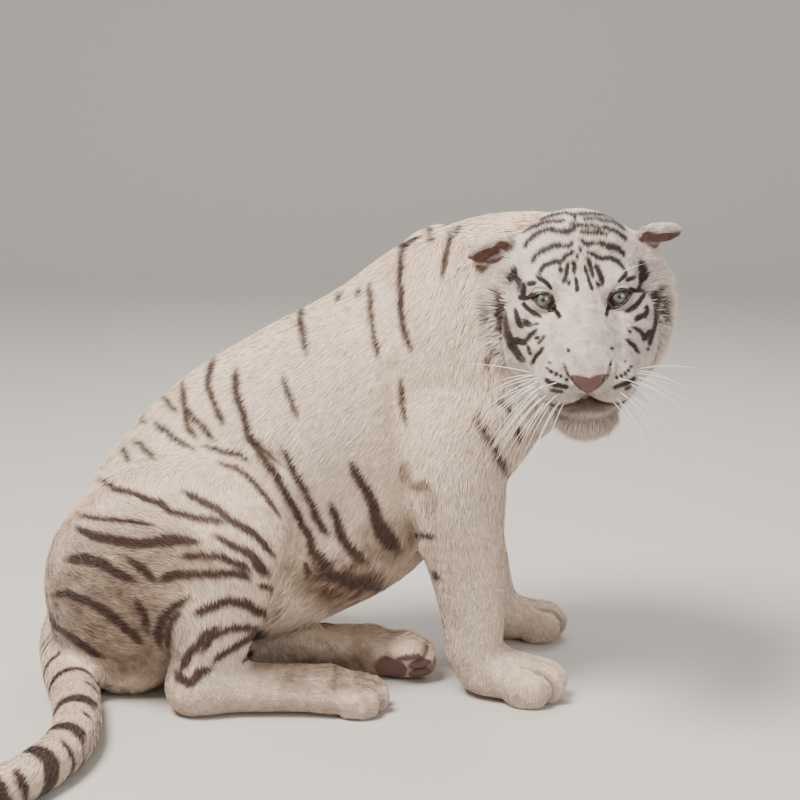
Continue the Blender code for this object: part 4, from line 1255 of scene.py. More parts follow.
def markings(points, normals):
    """Everything that colours skin and coat alike, as shares from 0 to 1."""
    local = in_head(points)
    near_head = head_share(local)
    on_tail = (limb(points, TAIL, steps=3) < 0.002) & (points[:, 0] < -0.5) & (points[:, 2] < 0.15)
    stripes = np.maximum(face_stripes(points, local, normals), body_stripes(points, near_head, on_tail))
    mouth_rims_and_nostril_shade, stain = mouth_marks(local, near_head)
    # The gaps between the toes are painted dark as shade in the creases; the claw slits are dark marks.
    toe_gap_shade_and_claw_slits = np.maximum(0.85 * toe_gaps(points, 0.0022), 0.7 * claw_slits(points))
    # Brown of dust, earth and stains, with painted shade in the belly fold and behind the elbow.
    dirt_and_fold_shade = soiling_and_fold_shade(points) * (1 - near_head) * (1 - 0.6 * on_tail)
    # Fur that faces up gets more of the brighter cream: cream tone with painted top light.
    high = ramp(normals[:, 2], -0.3, 0.8)
    cream_and_top_light = np.clip(0.62 + 0.38 * high + 0.2 * noise(points, 0.12, 14), 0, 1)
    return {
        "stripe": stripes,
        "dark": near_head * (1 - 0.65 * ramp(np.abs(local[:, 0]), 0.1, 0.13)),
        "dirt_and_fold_shade": np.clip(dirt_and_fold_shade + stain, 0, 1),
        "cream_and_top_light": cream_and_top_light * (1 - 0.85 * near_head),
        "pink": np.maximum(nose_leather(local), sole_pads(points)),
        # The rim share holds dark lid, lip and nose rims, and painted shade in the nostrils and between
        # the toes.
        "rim": np.maximum.reduce([eye_rims(local), mouth_rims_and_nostril_shade, toe_gap_shade_and_claw_slits]),
        "ear": ear_insides(points, normals),
    }


def ear_insides(points, normals):
    """The thinly haired inner face of each ear."""
    share = np.zeros(len(points), F32)
    reach = single(0.019, 0.047, 0.03)
    for side, (_, _, hollow_faces) in EARS.items():
        local = in_ear(points, side)
        inward = (HEAD_AXES @ direction(hollow_faces)).astype(F32)
        out = length((local - single(0, EAR_CENTRE_ALONG, 0)) / reach)
        within = (1 - ramp(out, 0.92, 1.06)) * ramp(normals @ inward, -0.05, 0.22)
        share = np.maximum(share, within * ramp(local[:, 1], 0.002, 0.01))
    return share


# ---------------------------------------------------------------- materials


def colour(red, green, blue):
    """A colour given as 0 to 255 the way a screen shows it, made linear."""
    shares = np.array((red, green, blue)) / 255
    linear = np.where(shares > 0.04045, ((shares + 0.055) / 1.055) ** 2.4, shares / 12.92)
    return (*linear.tolist(), 1.0)


WHITE_FUR = colour(216, 198, 186)
# Brighter than WHITE_FUR, and laid on more where the fur faces up: cream tone and painted top light.
CREAM_FUR = colour(255, 228, 200)
# Brown of dust, earth and stains, and painted shade in the belly fold and behind the elbow.
DUSTY_AND_SHADED_FUR = colour(112, 80, 58)
BROWN_STRIPE = colour(82, 60, 50)
DARK_STRIPE = colour(52, 38, 34)
NOSE_PINK = colour(96, 64, 58)
EAR_PINK = colour(132, 98, 88)
# Dark of lid, lip and nose rims and claw slits, and painted shade in the nostrils and between the toes.
DARK_RIM_AND_HOLLOW_SHADE = colour(50, 34, 30)


def attribute(nodes, name):
    node = nodes.new("ShaderNodeAttribute")
    node.attribute_name = name
    return node.outputs["Fac"]


def blended(tree, share, first, second, kind="MIX"):
    """The colour first where share is 0, running to second, or to both by kind, where it is 1."""
    node = tree.nodes.new("ShaderNodeMix")
    node.data_type = "RGBA"
    node.blend_type = kind
    for value, index in ((share, 0), (first, 6), (second, 7)):
        if isinstance(value, (float, tuple)):
            node.inputs[index].default_value = value
        else:
            tree.links.new(value, node.inputs[index])
    return node.outputs[2]


def fur_colour(tree):
    """Her colours laid over each other by the markings that the mesh carries, times tone and painted
    shade.
    """
    stripe = blended(tree, attribute(tree.nodes, "dark"), BROWN_STRIPE, DARK_STRIPE)
    base = blended(tree, attribute(tree.nodes, "cream_and_top_light"), WHITE_FUR, CREAM_FUR)
    layers = [("dirt_and_fold_shade", DUSTY_AND_SHADED_FUR), ("ear", EAR_PINK), ("stripe", stripe), ("pink", NOSE_PINK)]
    for name, shown in layers + [("rim", DARK_RIM_AND_HOLLOW_SHADE)]:
        base = blended(tree, attribute(tree.nodes, name), base, shown)
    return blended(tree, 1.0, base, attribute(tree.nodes, "shade"), kind="MULTIPLY")


def set_inputs(node, values):
    for name, value in values.items():
        node.inputs[name].default_value = value


def new_material(name, surface):
    """A material, its node tree and its shader, with the given inputs of the shader set."""
    material = bpy.data.materials.new(name)
    material.use_nodes = True
    shader = material.node_tree.nodes["Principled BSDF"]
    set_inputs(shader, surface)
    return material, material.node_tree, shader


def bumped(tree, shader, scale, strength, distance):
    """Fine relief from a noise texture over the surface."""
    place = tree.nodes.new("ShaderNodeTexCoord")
    grain = tree.nodes.new("ShaderNodeTexNoise")
    set_inputs(grain, {"Scale": scale, "Detail": 3.0})
    relief = tree.nodes.new("ShaderNodeBump")
    set_inputs(relief, {"Strength": strength, "Distance": distance})
    tree.links.new(place.outputs["Object"], grain.inputs["Vector"])
    tree.links.new(grain.outputs["Fac"], relief.inputs["Height"])
    tree.links.new(relief.outputs["Normal"], shader.inputs["Normal"])


def marked_material(name, surface, relief=None):
    """A material that shows the markings. Relief, if any, is its scale, strength and depth."""
    material, tree, shader = new_material(name, surface)
    tree.links.new(fur_colour(tree), shader.inputs["Base Color"])
    if relief:
        bumped(tree, shader, *relief)
    return material


# Shader inputs of her surfaces, and the relief of those that have one.
FUR_SURFACE = {
    "Roughness": 0.62,
    "Specular IOR Level": 0.3,
    "Sheen Weight": 0.18,
    "Sheen Roughness": 0.45,
}
UNDER_FUR_SURFACE = {"Roughness": 0.8, "Specular IOR Level": 0.2}
UNDER_FUR_RELIEF = (420.0, 0.35, 0.0012)
LEATHER_SURFACE = {"Roughness": 0.38, "Specular IOR Level": 0.5}
LEATHER_RELIEF = (900.0, 0.3, 0.0006)
EYE_SURFACE = {"Roughness": 0.1, "Coat Weight": 1.0, "Coat Roughness": 0.02}
WHISKER_SURFACE = {"Base Color": colour(245, 242, 238), "Roughness": 0.45}
BACKDROP_SURFACE = {"Base Color": colour(206, 199, 190), "Roughness": 0.85}

# Iris: distance from the pupil's middle as a share of the eye's radius, and the colour there.
IRIS = [
    (0.0, colour(6, 6, 7)),
    (0.115, colour(6, 6, 7)),
    (0.145, colour(56, 53, 42)),
    (0.24, colour(86, 86, 72)),
    (0.4, colour(102, 103, 90)),
    (0.53, colour(70, 71, 62)),
    (0.585, colour(44, 44, 42)),
    (0.64, colour(30, 24, 22)),
    (0.76, colour(92, 68, 60)),
]


def worked_out(tree, kind, operation, source, constant=None):
    """A node that works on one value, with a constant as its second input."""
    node = tree.nodes.new(kind)
    node.operation = operation
    tree.links.new(source, node.inputs[0])
    if constant is not None:
        node.inputs[1].default_value = constant
    return node


def iris_bands(tree, place):
    node = tree.nodes.new("ShaderNodeValToRGB")
    bands = node.color_ramp
    bands.elements[0].position, bands.elements[0].color = IRIS[0]
    bands.elements[1].position, bands.elements[1].color = IRIS[-1]
    for position, shown in IRIS[1:-1]:
        bands.elements.new(position).color = shown
    tree.links.new(place, node.inputs["Fac"])
    return node.outputs["Color"]


def eye_material():
    """A pale iris with fine rays and a dark edge, under a wet surface."""
    material, tree, shader = new_material("wet_eye", EYE_SURFACE)
    place = tree.nodes.new("ShaderNodeTexCoord").outputs["Object"]
    across = (1 / EYE_RADIUS, 1 / EYE_RADIUS, 0)
    flat = worked_out(tree, "ShaderNodeVectorMath", "MULTIPLY", place, across).outputs[0]
    out = worked_out(tree, "ShaderNodeVectorMath", "LENGTH", flat).outputs["Value"]
    spoke = worked_out(tree, "ShaderNodeVectorMath", "NORMALIZE", flat).outputs[0]
    rays = tree.nodes.new("ShaderNodeTexNoise")
    set_inputs(rays, {"Scale": 9.0, "Detail": 4.0})
    tree.links.new(spoke, rays.inputs["Vector"])
    shifted = worked_out(tree, "ShaderNodeMath", "MULTIPLY_ADD", rays.outputs["Fac"], 0.1)
    tree.links.new(out, shifted.inputs[2])
    centred = worked_out(tree, "ShaderNodeMath", "SUBTRACT", shifted.outputs[0], 0.05)
    tree.links.new(iris_bands(tree, centred.outputs[0]), shader.inputs["Base Color"])
    return material


# ---------------------------------------------------------------- placing pieces


def linked(name, mesh, material):
    piece = bpy.data.objects.new(name, mesh)
    bpy.context.scene.collection.objects.link(piece)
    mesh.materials.append(material)
    mesh.shade_smooth()
    return piece


def carry(mesh, name, values):
    data = mesh.attributes.new(name, "FLOAT", "POINT").data
    data.foreach_set("value", np.ascontiguousarray(values, F32))


def move_to_row():
    """From her body's own frame to the row frame, read from where the eyes are."""
    found = np.zeros(3)
    for side, name in ((1, "eye_right"), (-1, "eye_left")):
        low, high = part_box(name)
        found += (np.array(low) + np.array(high)) / 2 - from_head((side * EYE_APART, EYE_DEPTH, 0))
    return found / 2


MOVE = move_to_row()


def eyeball(name, side, material):
    """A finely meshed eye whose pole lies along her line of sight."""
    form = bmesh.new()
    bmesh.ops.create_uvsphere(form, u_segments=64, v_segments=40, radius=EYE_RADIUS)
    for vertex in form.verts:
        share = vertex.co.z / EYE_RADIUS
        vertex.co *= 0.985 + 0.02 * max(0.0, share) ** 12
    mesh = bpy.data.meshes.new(name)
    form.to_mesh(mesh)
    form.free()
    piece = linked(name, mesh, material)
    toward = HEAD_AXES @ (GAZE + np.array((-0.012 * side, 0, 0)))
    piece.rotation_mode = "QUATERNION"
    piece.rotation_quaternion = Vector(toward).to_track_quat("Z", "Y")
    piece.location = Vector(from_head((side * EYE_APART, EYE_DEPTH, 0)) + MOVE)
    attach(piece, "root")
    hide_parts("eye_right" if side > 0 else "eye_left")


# ---------------------------------------------------------------- the coat

# Limbs, which way the hair runs along each (1 with the order of its stations, -1 against it), and
# the piece of the coat that its tufts are in.
FLOWS = [
    (TRUNK, -1, "trunk"),
    (BELLY, -1, "trunk"),
    (NECK, -1, "neck"),
    (RIGHT_FORELEG, 1, "fore"),
    (LEFT_FORELEG, 1, "fore"),
    (RIGHT_THIGH, 1, "hind"),
    (RIGHT_SHANK, 1, "hind"),
    (RIGHT_HIND_FOOT, 1, "hind"),
    (LEFT_THIGH, 1, "hind"),
    (LEFT_SHANK, 1, "hind"),
    (LEFT_HIND_FOOT, 1, "hind"),
    (TAIL, 1, "tail"),
]

# Tufts: length, width, room on the skin and lift, in metres, square metres and radians.
TUFTS = {
    "body": (0.016, 0.00145, 6.6e-6, 0.2),
    "chest": (0.024, 0.0018, 6.3e-6, 0.33),
    "belly": (0.025, 0.0018, 6.3e-6, 0.38),
    "legs": (0.0115, 0.0013, 4.6e-6, 0.22),
    "paws": (0.0085, 0.0011, 3.2e-6, 0.26),
    "mane": (0.025, 0.0016, 3.9e-6, 0.42),
    "head": (0.014, 0.0013, 2.8e-6, 0.3),
    "ruff": (0.034, 0.0017, 2.5e-6, 0.7),
    "face": (0.0085, 0.00085, 1.3e-6, 0.27),
    "muzzle": (0.0052, 0.00066, 0.9e-6, 0.27),
    "lids": (0.003, 0.00052, 0.6e-6, 0.2),
    "chin": (0.027, 0.001, 1.1e-6, 0.9),
    "ears": (0.0085, 0.00075, 1.1e-6, 0.3),
}
# How much wider tufts are, and how much more room each has, on the flank turned from the viewer.
FAR_SIDE_MORE = (0.15, 0.4)

# At a tuft's five corners: its patch of the bake map, how its normals turn sideways, how light it is.
TUFT_PATCH = np.array(((-1, -1), (1, -1), (0.85, 0.2), (-0.85, 0.2), (0, 1)), F32) * F32(0.0015)
TUFT_ROUNDING = single(-0.35, 0.35, 0.3, -0.3, 0)[None, :, None]
# Nearer its root a tuft is darker: painted shade deep in the coat.
TUFT_SHADE = single(0.55, 0.55, 0.87, 0.87, 1.06)


def limb_flow(points, stations):
    """Distance to a limb and the direction along it at each point."""
    rows = np.array(stations, F32)
    best = np.full(len(points), FAR, F32)
    along = np.zeros((len(points), 3), F32)
    for a, b in zip(rows, rows[1:]):
        t, off = from_segment(points, a[:3], b[:3])
        gap = length(off) - (a[3] + t * (b[3] - a[3]))
        closer = gap < best
        best = np.where(closer, gap, best)
        along[closer] = direction(b[:3] - a[:3])
    return best, along


def along_surface(rows, normals):
    return rows - normals * np.einsum("ij,ij->i", rows, normals)[:, None]


def vector_noise(points, size, seed):
    return np.column_stack([noise(points, size, seed + axis) for axis in range(3)])


def body_flow(points):
    """The way the hair lies on trunk and limbs, and which limb of FLOWS each point belongs to."""
    total = np.zeros_like(points)
    nearest = np.full(len(points), FAR, F32)
    limb_index = np.zeros(len(points), int)
    for index, (stations, sense, _) in enumerate(FLOWS):
        gap, along = limb_flow(points, stations)
        total += (sense * np.exp(-np.maximum(gap + 0.03, 0) / 0.035))[:, None] * along
        limb_index = np.where(gap < nearest, index, limb_index)
        nearest = np.minimum(gap, nearest)
    return unit(total) + single(0, 0, -0.45), limb_index


def head_flow(points, local):
    """The way the hair lies on the head: back from the nose, down ruff and chin, out along the ears."""
    _, forward, up = local.T
    from_nose = unit(local - single(0, 0.15, -0.07))
    low = ramp(-up, -0.02, 0.08) * ramp(-forward, -0.02, 0.06)
    flow = from_nose + low[:, None] * single(0, -0.25, -0.75)
    flow += (2.5 * chin_share(local))[:, None] * single(0, -0.35, -1.0)
    flow = flow @ HEAD_AXES.T.astype(F32)
    for side, (_, along, _) in EARS.items():
        ear_local = in_ear(points, side)
        near_ear = length(ear_local - single(0, 0.036, 0)) < 0.052
        outward = (HEAD_AXES @ direction(along)).astype(F32)
        flow += (ramp(ear_local[:, 1], 0.004, 0.016) * near_ear * 4)[:, None] * outward
    return flow


def lie_of_coat(points, normals, local, near_head):
    """The way the hair lies at each point, along the skin, and the limb that each belongs to."""
    total, limb_index = body_flow(points)
    total = unit(total) * (1 - near_head)[:, None] + unit(head_flow(points, local)) * near_head[:, None]
    total += 0.1 * vector_noise(points, 0.035, 21) * (1 - 0.4 * near_head)[:, None]
    shaggy = near_head * ramp(np.abs(local[:, 0]), 0.08, 0.105) + chin_share(local)
    shaggy += (1 - near_head) * np.maximum(mane_share(local), 1 - ramp(points[:, 2], 0.2, 0.34))
    total += (0.12 + 0.38 * shaggy)[:, None] * vector_noise(points, 0.011, 51)
    return unit(along_surface(total, normals)), limb_index


def coat_places(points, local, near_head):
    """Where each kind of tuft in TUFTS grows, in the order in which one gives way to the next."""
    x, y, z = points.T
    side, forward, up = np.abs(local[:, 0]), local[:, 1], local[:, 2]
    ruff = near_head * ramp(side, 0.08, 0.112)
    ruff = ruff * (1 - ramp(up, -0.01, 0.04)) * (1 - ramp(forward, -0.075, -0.03))
    from_eye = np.sqrt(sum(part**2 for part in eye_plane(local)))
    return {
        "chest": ramp(x, 0.08, 0.15) * ramp(z, 0.3, 0.4) * (1 - ramp(z, 0.66, 0.74)),
        "belly": (1 - ramp(z, 0.2, 0.34)) * ramp(x, -0.36, -0.28) * (1 - ramp(np.abs(y), 0.12, 0.17)),
        "legs": (1 - ramp(z, 0.2, 0.32)) * ramp(x, 0.02, 0.06),
        "paws": (1 - ramp(z, 0.06, 0.105)) * ramp(x, -0.42, -0.36),
        "mane": mane_share(local),
        "head": near_head,
        "ruff": ruff,
        "face": near_head * ramp(forward, -0.06, 0.0) * (1 - ruff),
        "muzzle": near_head * ramp(forward, 0.055, 0.085),
        "lids": near_head * (1 - ramp(from_eye, 0.026, 0.036)),
        "chin": chin_share(local),
        "ears": ear_share(local),
    }


def hair(points, local, near_head):
    """Length, width, room and lift of the tufts at each point."""
    sizes = np.tile(np.array(TUFTS["body"], F32), (len(points), 1))
    for name, share in coat_places(points, local, near_head).items():
        sizes = sizes + (np.array(TUFTS[name], F32) - sizes) * share[:, None]
    far_side = (1 - near_head) * ramp(points[:, 1], 0.04, 0.1)
    sizes[:, 1:3] *= (1 + np.outer(far_side, FAR_SIDE_MORE)).astype(F32)
    return sizes.T


def scatter(mesh, dice):
    """Roots spread over the skin, each with the room its tuft is to have."""
    mesh.calc_loop_triangles()
    faces = np.empty(len(mesh.loop_triangles) * 3, np.int32)
    mesh.loop_triangles.foreach_get("vertices", faces)
    faces = faces.reshape(-1, 3)
    points = points_of(mesh)
    normals = normals_of(mesh)
    corners = points[faces]
    areas = 0.5 * length(np.cross(corners[:, 1] - corners[:, 0], corners[:, 2] - corners[:, 0]))
    middles = corners.mean(1)
    local = in_head(middles)
    near_head = head_share(local)
    room = hair(middles, local, near_head)[2]
    wanted = areas / room
    counts = np.floor(wanted + dice.random(len(wanted))).astype(int)
    chosen = np.repeat(np.arange(len(faces)), counts)
    u = np.sqrt(dice.random(len(chosen), dtype=F32))
    v = dice.random(len(chosen), dtype=F32)
    weights = np.column_stack([1 - u, u * (1 - v), u * v])
    roots = np.einsum("ij,ijk->ik", weights, corners[chosen])
    root_normals = unit(np.einsum("ij,ijk->ik", weights, normals[faces[chosen]]))
    return roots.astype(F32), root_normals.astype(F32)


def skin_charts(points, normals):
    """A flat map of the skin: one chart for each way it faces, laid side by side in the unit square."""
    facing = np.abs(normals).argmax(1)
    chart = 2 * facing + (normals[np.arange(len(normals)), facing] > 0)
    flat = np.zeros((len(points), 2), F32)
    boxes = []
    for index in range(6):
        rows = chart == index
        if not rows.any():
            continue
        axes = [axis for axis in range(3) if axis != index // 2]
        part = points[rows][:, axes]
        low = part.min(0)
        flat[rows] = part - low
        boxes.append((index, *(part.max(0) - low + 0.01)))
    boxes.sort(key=lambda box: -box[2])
    width = 1.15 * math.sqrt(sum(across * high for _, across, high in boxes))
    width = max([width] + [across for _, across, _ in boxes])
    x = y = row = 0.0
    for index, across, high in boxes:
        if x + across > width:
            x, y, row = 0.0, y + row, 0.0
        flat[chart == index] += single(x, y)
        x += across
        row = max(row, high)
    return 0.004 + flat * (0.992 / max(width, y + row))


def tuft_corners(roots, normals, lie, sizes, dice):
    """Five corners of each tuft: two at its root, two in its middle, and its tip within the coat."""
    rows = len(roots)
    long, wide, _, lift = sizes
    roll = dice.normal(0, 0.35, rows).astype(F32)[:, None]
    along = lie + dice.normal(0, 0.07, (rows, 3)).astype(F32)
    along = unit(along_surface(along, normals))
    across = np.cross(normals, along) * np.cos(roll) + normals * np.sin(roll)
    long = (long * dice.uniform(0.75, 1.2, rows).astype(F32))[:, None]
    wide = (wide * dice.uniform(0.75, 1.2, rows).astype(F32))[:, None]
    rise = (lift * dice.uniform(0.75, 1.25, rows).astype(F32))[:, None]
    middle = roots + 0.45 * long * (np.cos(rise) * along + np.sin(rise) * normals)
    lean = 0.45 * rise
    droop = ramp(lift, 0.75, 0.95)[:, None] * single(0, 0, -0.8)
    tip = middle + 0.55 * long * unit(np.cos(lean) * along + np.sin(lean) * normals + droop)
    loose = 0.1 + 0.2 * ramp(lift, 0.4, 0.6) + 0.6 * ramp(lift, 0.72, 0.85)
    over = np.maximum(flesh(tip) - loose * long[:, 0] * dice.random(rows, dtype=F32), 0)[:, None]
    tip -= over * normals
    middle -= 0.4 * over * normals
    base = roots - 0.0008 * normals
    corners = [base - 0.5 * wide * across, base + 0.5 * wide * across]
    corners += [middle + 0.42 * wide * across, middle - 0.42 * wide * across, tip]
    return np.stack(corners, 1), along, across, long[:, 0]


def faces_of_tufts(name, points):
    """A mesh of tufts, each a quad from root to middle and a triangle to the tip, and its loops."""
    rows = len(points)
    first = 5 * np.arange(rows)[:, None]
    loops = np.hstack([first + np.array((0, 3, 2, 1)), first + np.array((3, 4, 2))]).reshape(-1)
    mesh = bpy.data.meshes.new(name)
    mesh.vertices.add(5 * rows)
    mesh.loops.add(len(loops))
    mesh.polygons.add(2 * rows)
    mesh.vertices.foreach_set("co", (points.reshape(-1, 3) + MOVE.astype(F32)).reshape(-1).astype(F32))
    mesh.loops.foreach_set("vertex_index", loops.astype(np.int32))
    starts = (7 * np.arange(rows)[:, None] + np.array((0, 4))).reshape(-1)
    mesh.polygons.foreach_set("loop_start", starts.astype(np.int32))
    mesh.update(calc_edges=True)
    return mesh, loops


def tuft_mesh(name, roots, normals, lie, sizes, marks, tip_marks, dice):
    """Thin pointed tufts, three triangles each, that rise from the skin and lean with the coat."""
    rows = len(roots)
    points, along, across, long = tuft_corners(roots, normals, lie, sizes, dice)
    mesh, loops = faces_of_tufts(name, points)
    places = (skin_charts(roots, normals)[:, None, :] + TUFT_PATCH).reshape(-1, 2)
    mesh.uv_layers.new(name="OFBake").data.foreach_set("uv", places[loops].reshape(-1).astype(F32))
    short = 1 - ramp(long, 0.008, 0.013)
    tilt = 0.17 * dice.normal(0, 1, (rows, 3)).astype(F32)
    tilt += (0.22 + 0.2 * short)[:, None] * vector_noise(roots, 0.0085, 61)
    leaning = (normals + tilt - 0.15 * along)[:, None, :]
    shading = unit((leaning + TUFT_ROUNDING * across[:, None, :]).reshape(-1, 3))
    mesh.normals_split_custom_set_from_vertices(shading.tolist())
    for key, values in marks.items():
        carry(mesh, key, np.column_stack([values, values, values, values, tip_marks[key]]).reshape(-1))
    tone = 1 + 0.09 * dice.normal(0, 1, rows).clip(-2, 1.5)
    tone += (0.05 + 0.11 * short) * noise(roots, 0.009, 31) + 0.09 * short * noise(roots, 0.004, 32)
    # The shade attribute holds random tone and painted shade towards the roots.
    carry(mesh, "shade", (tone[:, None] * TUFT_SHADE).reshape(-1))
    return mesh


def piece_names(roots, local, near_head, limb_index):
    """The piece of the coat that each root belongs to, split so that each piece is small enough."""
    group = np.array([piece for _, _, piece in FLOWS])[limb_index].astype("U12")
    handed = np.where(roots[:, 1] < 0, "_right", "_left")
    whole = np.char.add(group, np.where(np.isin(group, ("tail", "neck")), "", handed))
    whole = np.where(near_head > 0.5, np.where(local[:, 1] > -0.045, "face", "ruff"), whole)
    return np.where(whole == "face", np.where(local[:, 0] > 0, "face_right", "face_left"), whole)


def bare_skin(roots, normals, local, marks, dice):
    """Where no tuft grows: nose, pads, rims, most of each ear's inner face, and under the soles."""
    outward, up, forward = eye_plane(local)
    thinned = dice.random(len(roots)) < 0.75 * marks["ear"]
    bare = (marks["pink"] > 0.35) | (marks["rim"] > 0.45) | thinned
    bare |= (lid_gap(outward, up) < 0.003) & (forward > 0) & (length(local) < 0.12)
    return bare | ((roots[:, 2] < 0.006) & (normals[:, 2] < -0.5))


def coat(mesh, material):
    """All the tufts, as pieces small enough to export."""
    dice = np.random.default_rng(7)
    roots, normals = scatter(mesh, dice)
    local = in_head(roots)
    near_head = head_share(local)
    lie, limb_index = lie_of_coat(roots, normals, local, near_head)
    sizes = hair(roots, local, near_head)
    long = sizes[0][:, None]
    stray = dice.normal(0, 1, roots.shape).astype(F32) * (0.0004 + 0.03 * long)
    marks = markings(roots + 0.4 * long * lie + stray, normals)
    tip_marks = markings(roots + 0.9 * long * lie + stray, normals)
    bare = bare_skin(roots, normals, local, marks, dice)
    names = piece_names(roots, local, near_head, limb_index)
    for key in sorted(set(names.tolist())):
        rows = np.flatnonzero((names == key) & ~bare)
        part = {name: values[rows] for name, values in marks.items()}
        tip_part = {name: values[rows] for name, values in tip_marks.items()}
        places = (roots[rows], normals[rows], lie[rows], sizes[:, rows])
        tufts = tuft_mesh(f"coat_{key}", *places, part, tip_part, dice)
        piece = linked(f"coat_{key}", tufts, material)
        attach(piece, "root")


# ---------------------------------------------------------------- whiskers


def whisker_mesh(name, strands):
    """Thin tapering tubes along the given strands."""
    form = bmesh.new()
    for points, thick in strands:
        rings = []
        for index, point in enumerate(points):
            ahead = points[min(index + 1, len(points) - 1)] - points[max(index - 1, 0)]
            turn = Vector(ahead).to_track_quat("Z", "Y")
            radius = thick * (1 - 0.85 * index / (len(points) - 1))
            ring = []
            for corner in range(4):
                angle = corner * math.pi / 2
                offset = turn @ Vector((radius * math.cos(angle), radius * math.sin(angle), 0))
                ring.append(form.verts.new(Vector(point) + offset))
            rings.append(ring)
        for ring, after in zip(rings, rings[1:]):
            for corner in range(4):
                other = (corner + 1) % 4
                form.faces.new((ring[corner], ring[other], after[other], after[corner]))
        form.faces.new(rings[0][::-1])
        form.faces.new(rings[-1])
    mesh = bpy.data.meshes.new(name)
    form.to_mesh(mesh)
    form.free()
    return mesh


def strand(root, heading, long, sag):
    """A whisker from a point of the head, bending down as it goes."""
    heading = direction(heading)
    points = []
    for t in np.linspace(0, 1, 9):
        local = np.array(root) + long * t * heading + np.array((0, -0.1 * long * t * t, -sag * t * t))
        points.append(from_head(local) + MOVE)
    return points


def muzzle_whisker(side, row, place, dice):
    """One whisker of four rows on each pad, longer and turned farther out towards the cheek."""
    down = 0.101 + 0.01 * row + 0.001 * place
    root = (side * (0.034 + 0.0075 * place), 0.128 - 0.012 * place, -down)
    long = dice.uniform(0.11, 0.165) * (0.66 + 0.035 * place)
    rise = 0.05 - 0.36 * row + dice.normal(0, 0.12)
    heading = (side * (0.8 + 0.06 * place), 0.55 - 0.12 * place, rise)
    return strand(root, heading, long, dice.uniform(0.02, 0.06)), 0.00095


def brow_whisker(side, place, dice):
    root = (side * (0.046 + 0.007 * place), 0.012 - 0.006 * place, 0.031 + 0.002 * place)
    heading = (side * (0.3 + 0.25 * place), 0.8, 0.9)
    return strand(root, heading, dice.uniform(0.03, 0.05), 0.008), 0.00035


def whiskers(material):
    dice = np.random.default_rng(23)
    strands = []
    for side in (1, -1):
        strands += [muzzle_whisker(side, row, place, dice) for row in range(4) for place in range(7)]
        strands += [brow_whisker(side, place, dice) for place in range(5)]
    piece = linked("whiskers", whisker_mesh("whiskers", strands), material)
    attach(piece, "root")


# ---------------------------------------------------------------- stage


def backdrop():
    """A pale floor that sweeps up far behind her."""
    profile = [(-9.0, 0.0), (5.0, 0.0)]
    for angle in np.linspace(0.15, math.pi / 2, 12):
        profile.append((5.0 + 2 * math.sin(angle), 2 - 2 * math.cos(angle)))
    profile.append((7.0, 7.0))
    points = [(x, y, z) for y, z in profile for x in (-12.0, 12.0)]
    faces = [(2 * i, 2 * i + 1, 2 * i + 3, 2 * i + 2) for i in range(len(profile) - 1)]
    mesh = bpy.data.meshes.new("backdrop")
    mesh.from_pydata(points, [], faces)
    piece = linked("backdrop", mesh, new_material("backdrop_paint", BACKDROP_SURFACE)[0])
    piece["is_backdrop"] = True


# Lights: name, place, the point it is turned to, size in metres, power in watts, colour.
LIGHTS = [
    ("key", (-1.2, -1.2, 3.8), (0.0, 0.0, 0.4), 1.6, 300, (1.0, 0.975, 0.94)),
    ("fill", (2.4, -2.9, 1.9), (0.2, 0.0, 0.45), 2.0, 42, (0.97, 0.98, 1.0)),
    ("back", (0.8, 2.6, 2.8), (0.0, 0.1, 0.5), 1.8, 55, (1.0, 1.0, 1.0)),
]


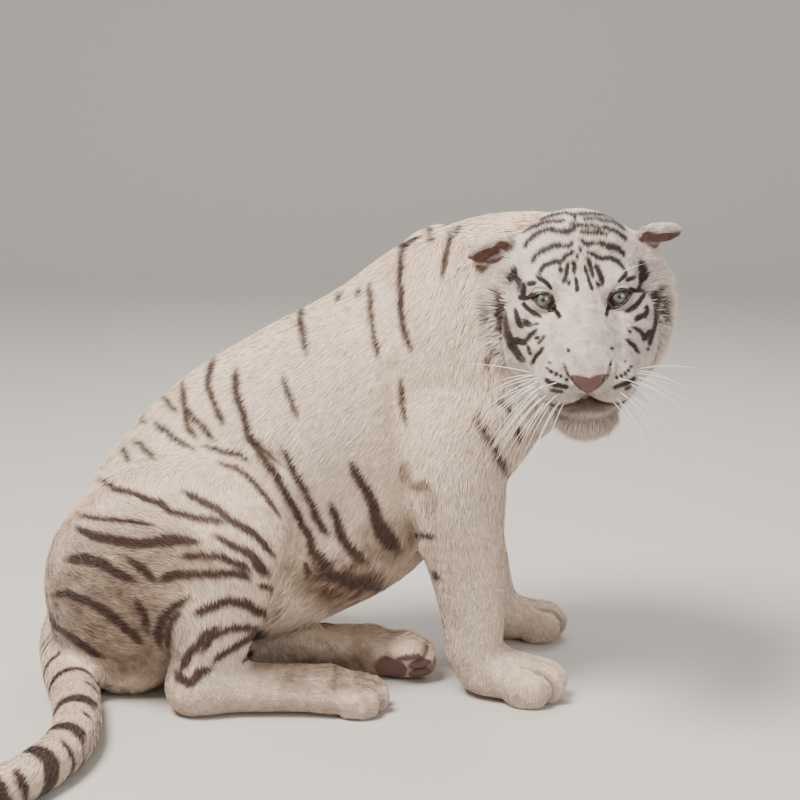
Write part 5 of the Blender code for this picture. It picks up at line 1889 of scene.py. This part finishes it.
def lights():
    """Soft studio light: a pale surround and three round lamps."""
    world = bpy.data.worlds.new("studio")
    world.use_nodes = True
    surround = {"Color": (0.95, 0.97, 1.0, 1.0), "Strength": 0.55}
    set_inputs(world.node_tree.nodes["Background"], surround)
    bpy.context.scene.world = world
    for name, place, at, size, power, shown in LIGHTS:
        light = bpy.data.lights.new(name, "AREA")
        light.shape = "DISK"
        light.size = size
        light.energy = power
        light.color = shown
        piece = bpy.data.objects.new(name, light)
        piece.location = place
        piece.rotation_mode = "QUATERNION"
        piece.rotation_quaternion = (Vector(at) - Vector(place)).to_track_quat("-Z", "Y")
        bpy.context.scene.collection.objects.link(piece)


def camera():
    """The viewer's place: about three metres off, looking twelve degrees down."""
    lens = bpy.data.cameras.new("camera")
    lens.lens = 81
    lens.sensor_width = 36
    piece = bpy.data.objects.new("camera", lens)
    piece.location = Vector(VIEW_POINT) + Vector((MOVE[0], MOVE[1], 0))
    piece.rotation_euler = (math.radians(78), 0, 0)
    bpy.context.scene.collection.objects.link(piece)
    bpy.context.scene.camera = piece


# ---------------------------------------------------------------- putting it together


def finished_skin(mesh):
    """The skin moved into the row frame, with its markings, standing for every flesh node."""
    points = points_of(mesh)
    marks = markings(points, normals_of(mesh))
    for key, values in marks.items():
        carry(mesh, key, values)
    # The skin under the coat is darkened as painted shade beneath the tufts; bare leather and rims are
    # not.
    tone = 0.72 + 0.05 * noise(points, 0.01, 41)
    bare = np.maximum(marks["pink"], marks["rim"])
    carry(mesh, "shade", tone + (1 - tone) * ramp(bare, 0.3, 0.7))
    put_points(mesh, points + MOVE.astype(F32))
    skin_piece = linked("skin", mesh, marked_material("under_fur", UNDER_FUR_SURFACE, UNDER_FUR_RELIEF))
    mesh.materials.append(marked_material("leather", LEATHER_SURFACE, LEATHER_RELIEF))
    of_leather = [int(np.mean(bare[list(face.vertices)]) > 0.4) for face in mesh.polygons]
    mesh.polygons.foreach_set("material_index", of_leather)
    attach(skin_piece, "root")
    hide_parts(*[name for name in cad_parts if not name.startswith("eye")])


def main():
    bare_mesh = skin_mesh()
    coat(bare_mesh, marked_material("fur", FUR_SURFACE))
    finished_skin(bare_mesh)
    wet = eye_material()
    eyeball("eyeball_right", 1, wet)
    eyeball("eyeball_left", -1, wet)
    whiskers(new_material("whisker_white", WHISKER_SURFACE)[0])
    backdrop()
    lights()
    camera()


main()
boxes = {"cad": CAD_BOX, "all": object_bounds()}
{name: [list(corner) for corner in box] for name, box in boxes.items()}
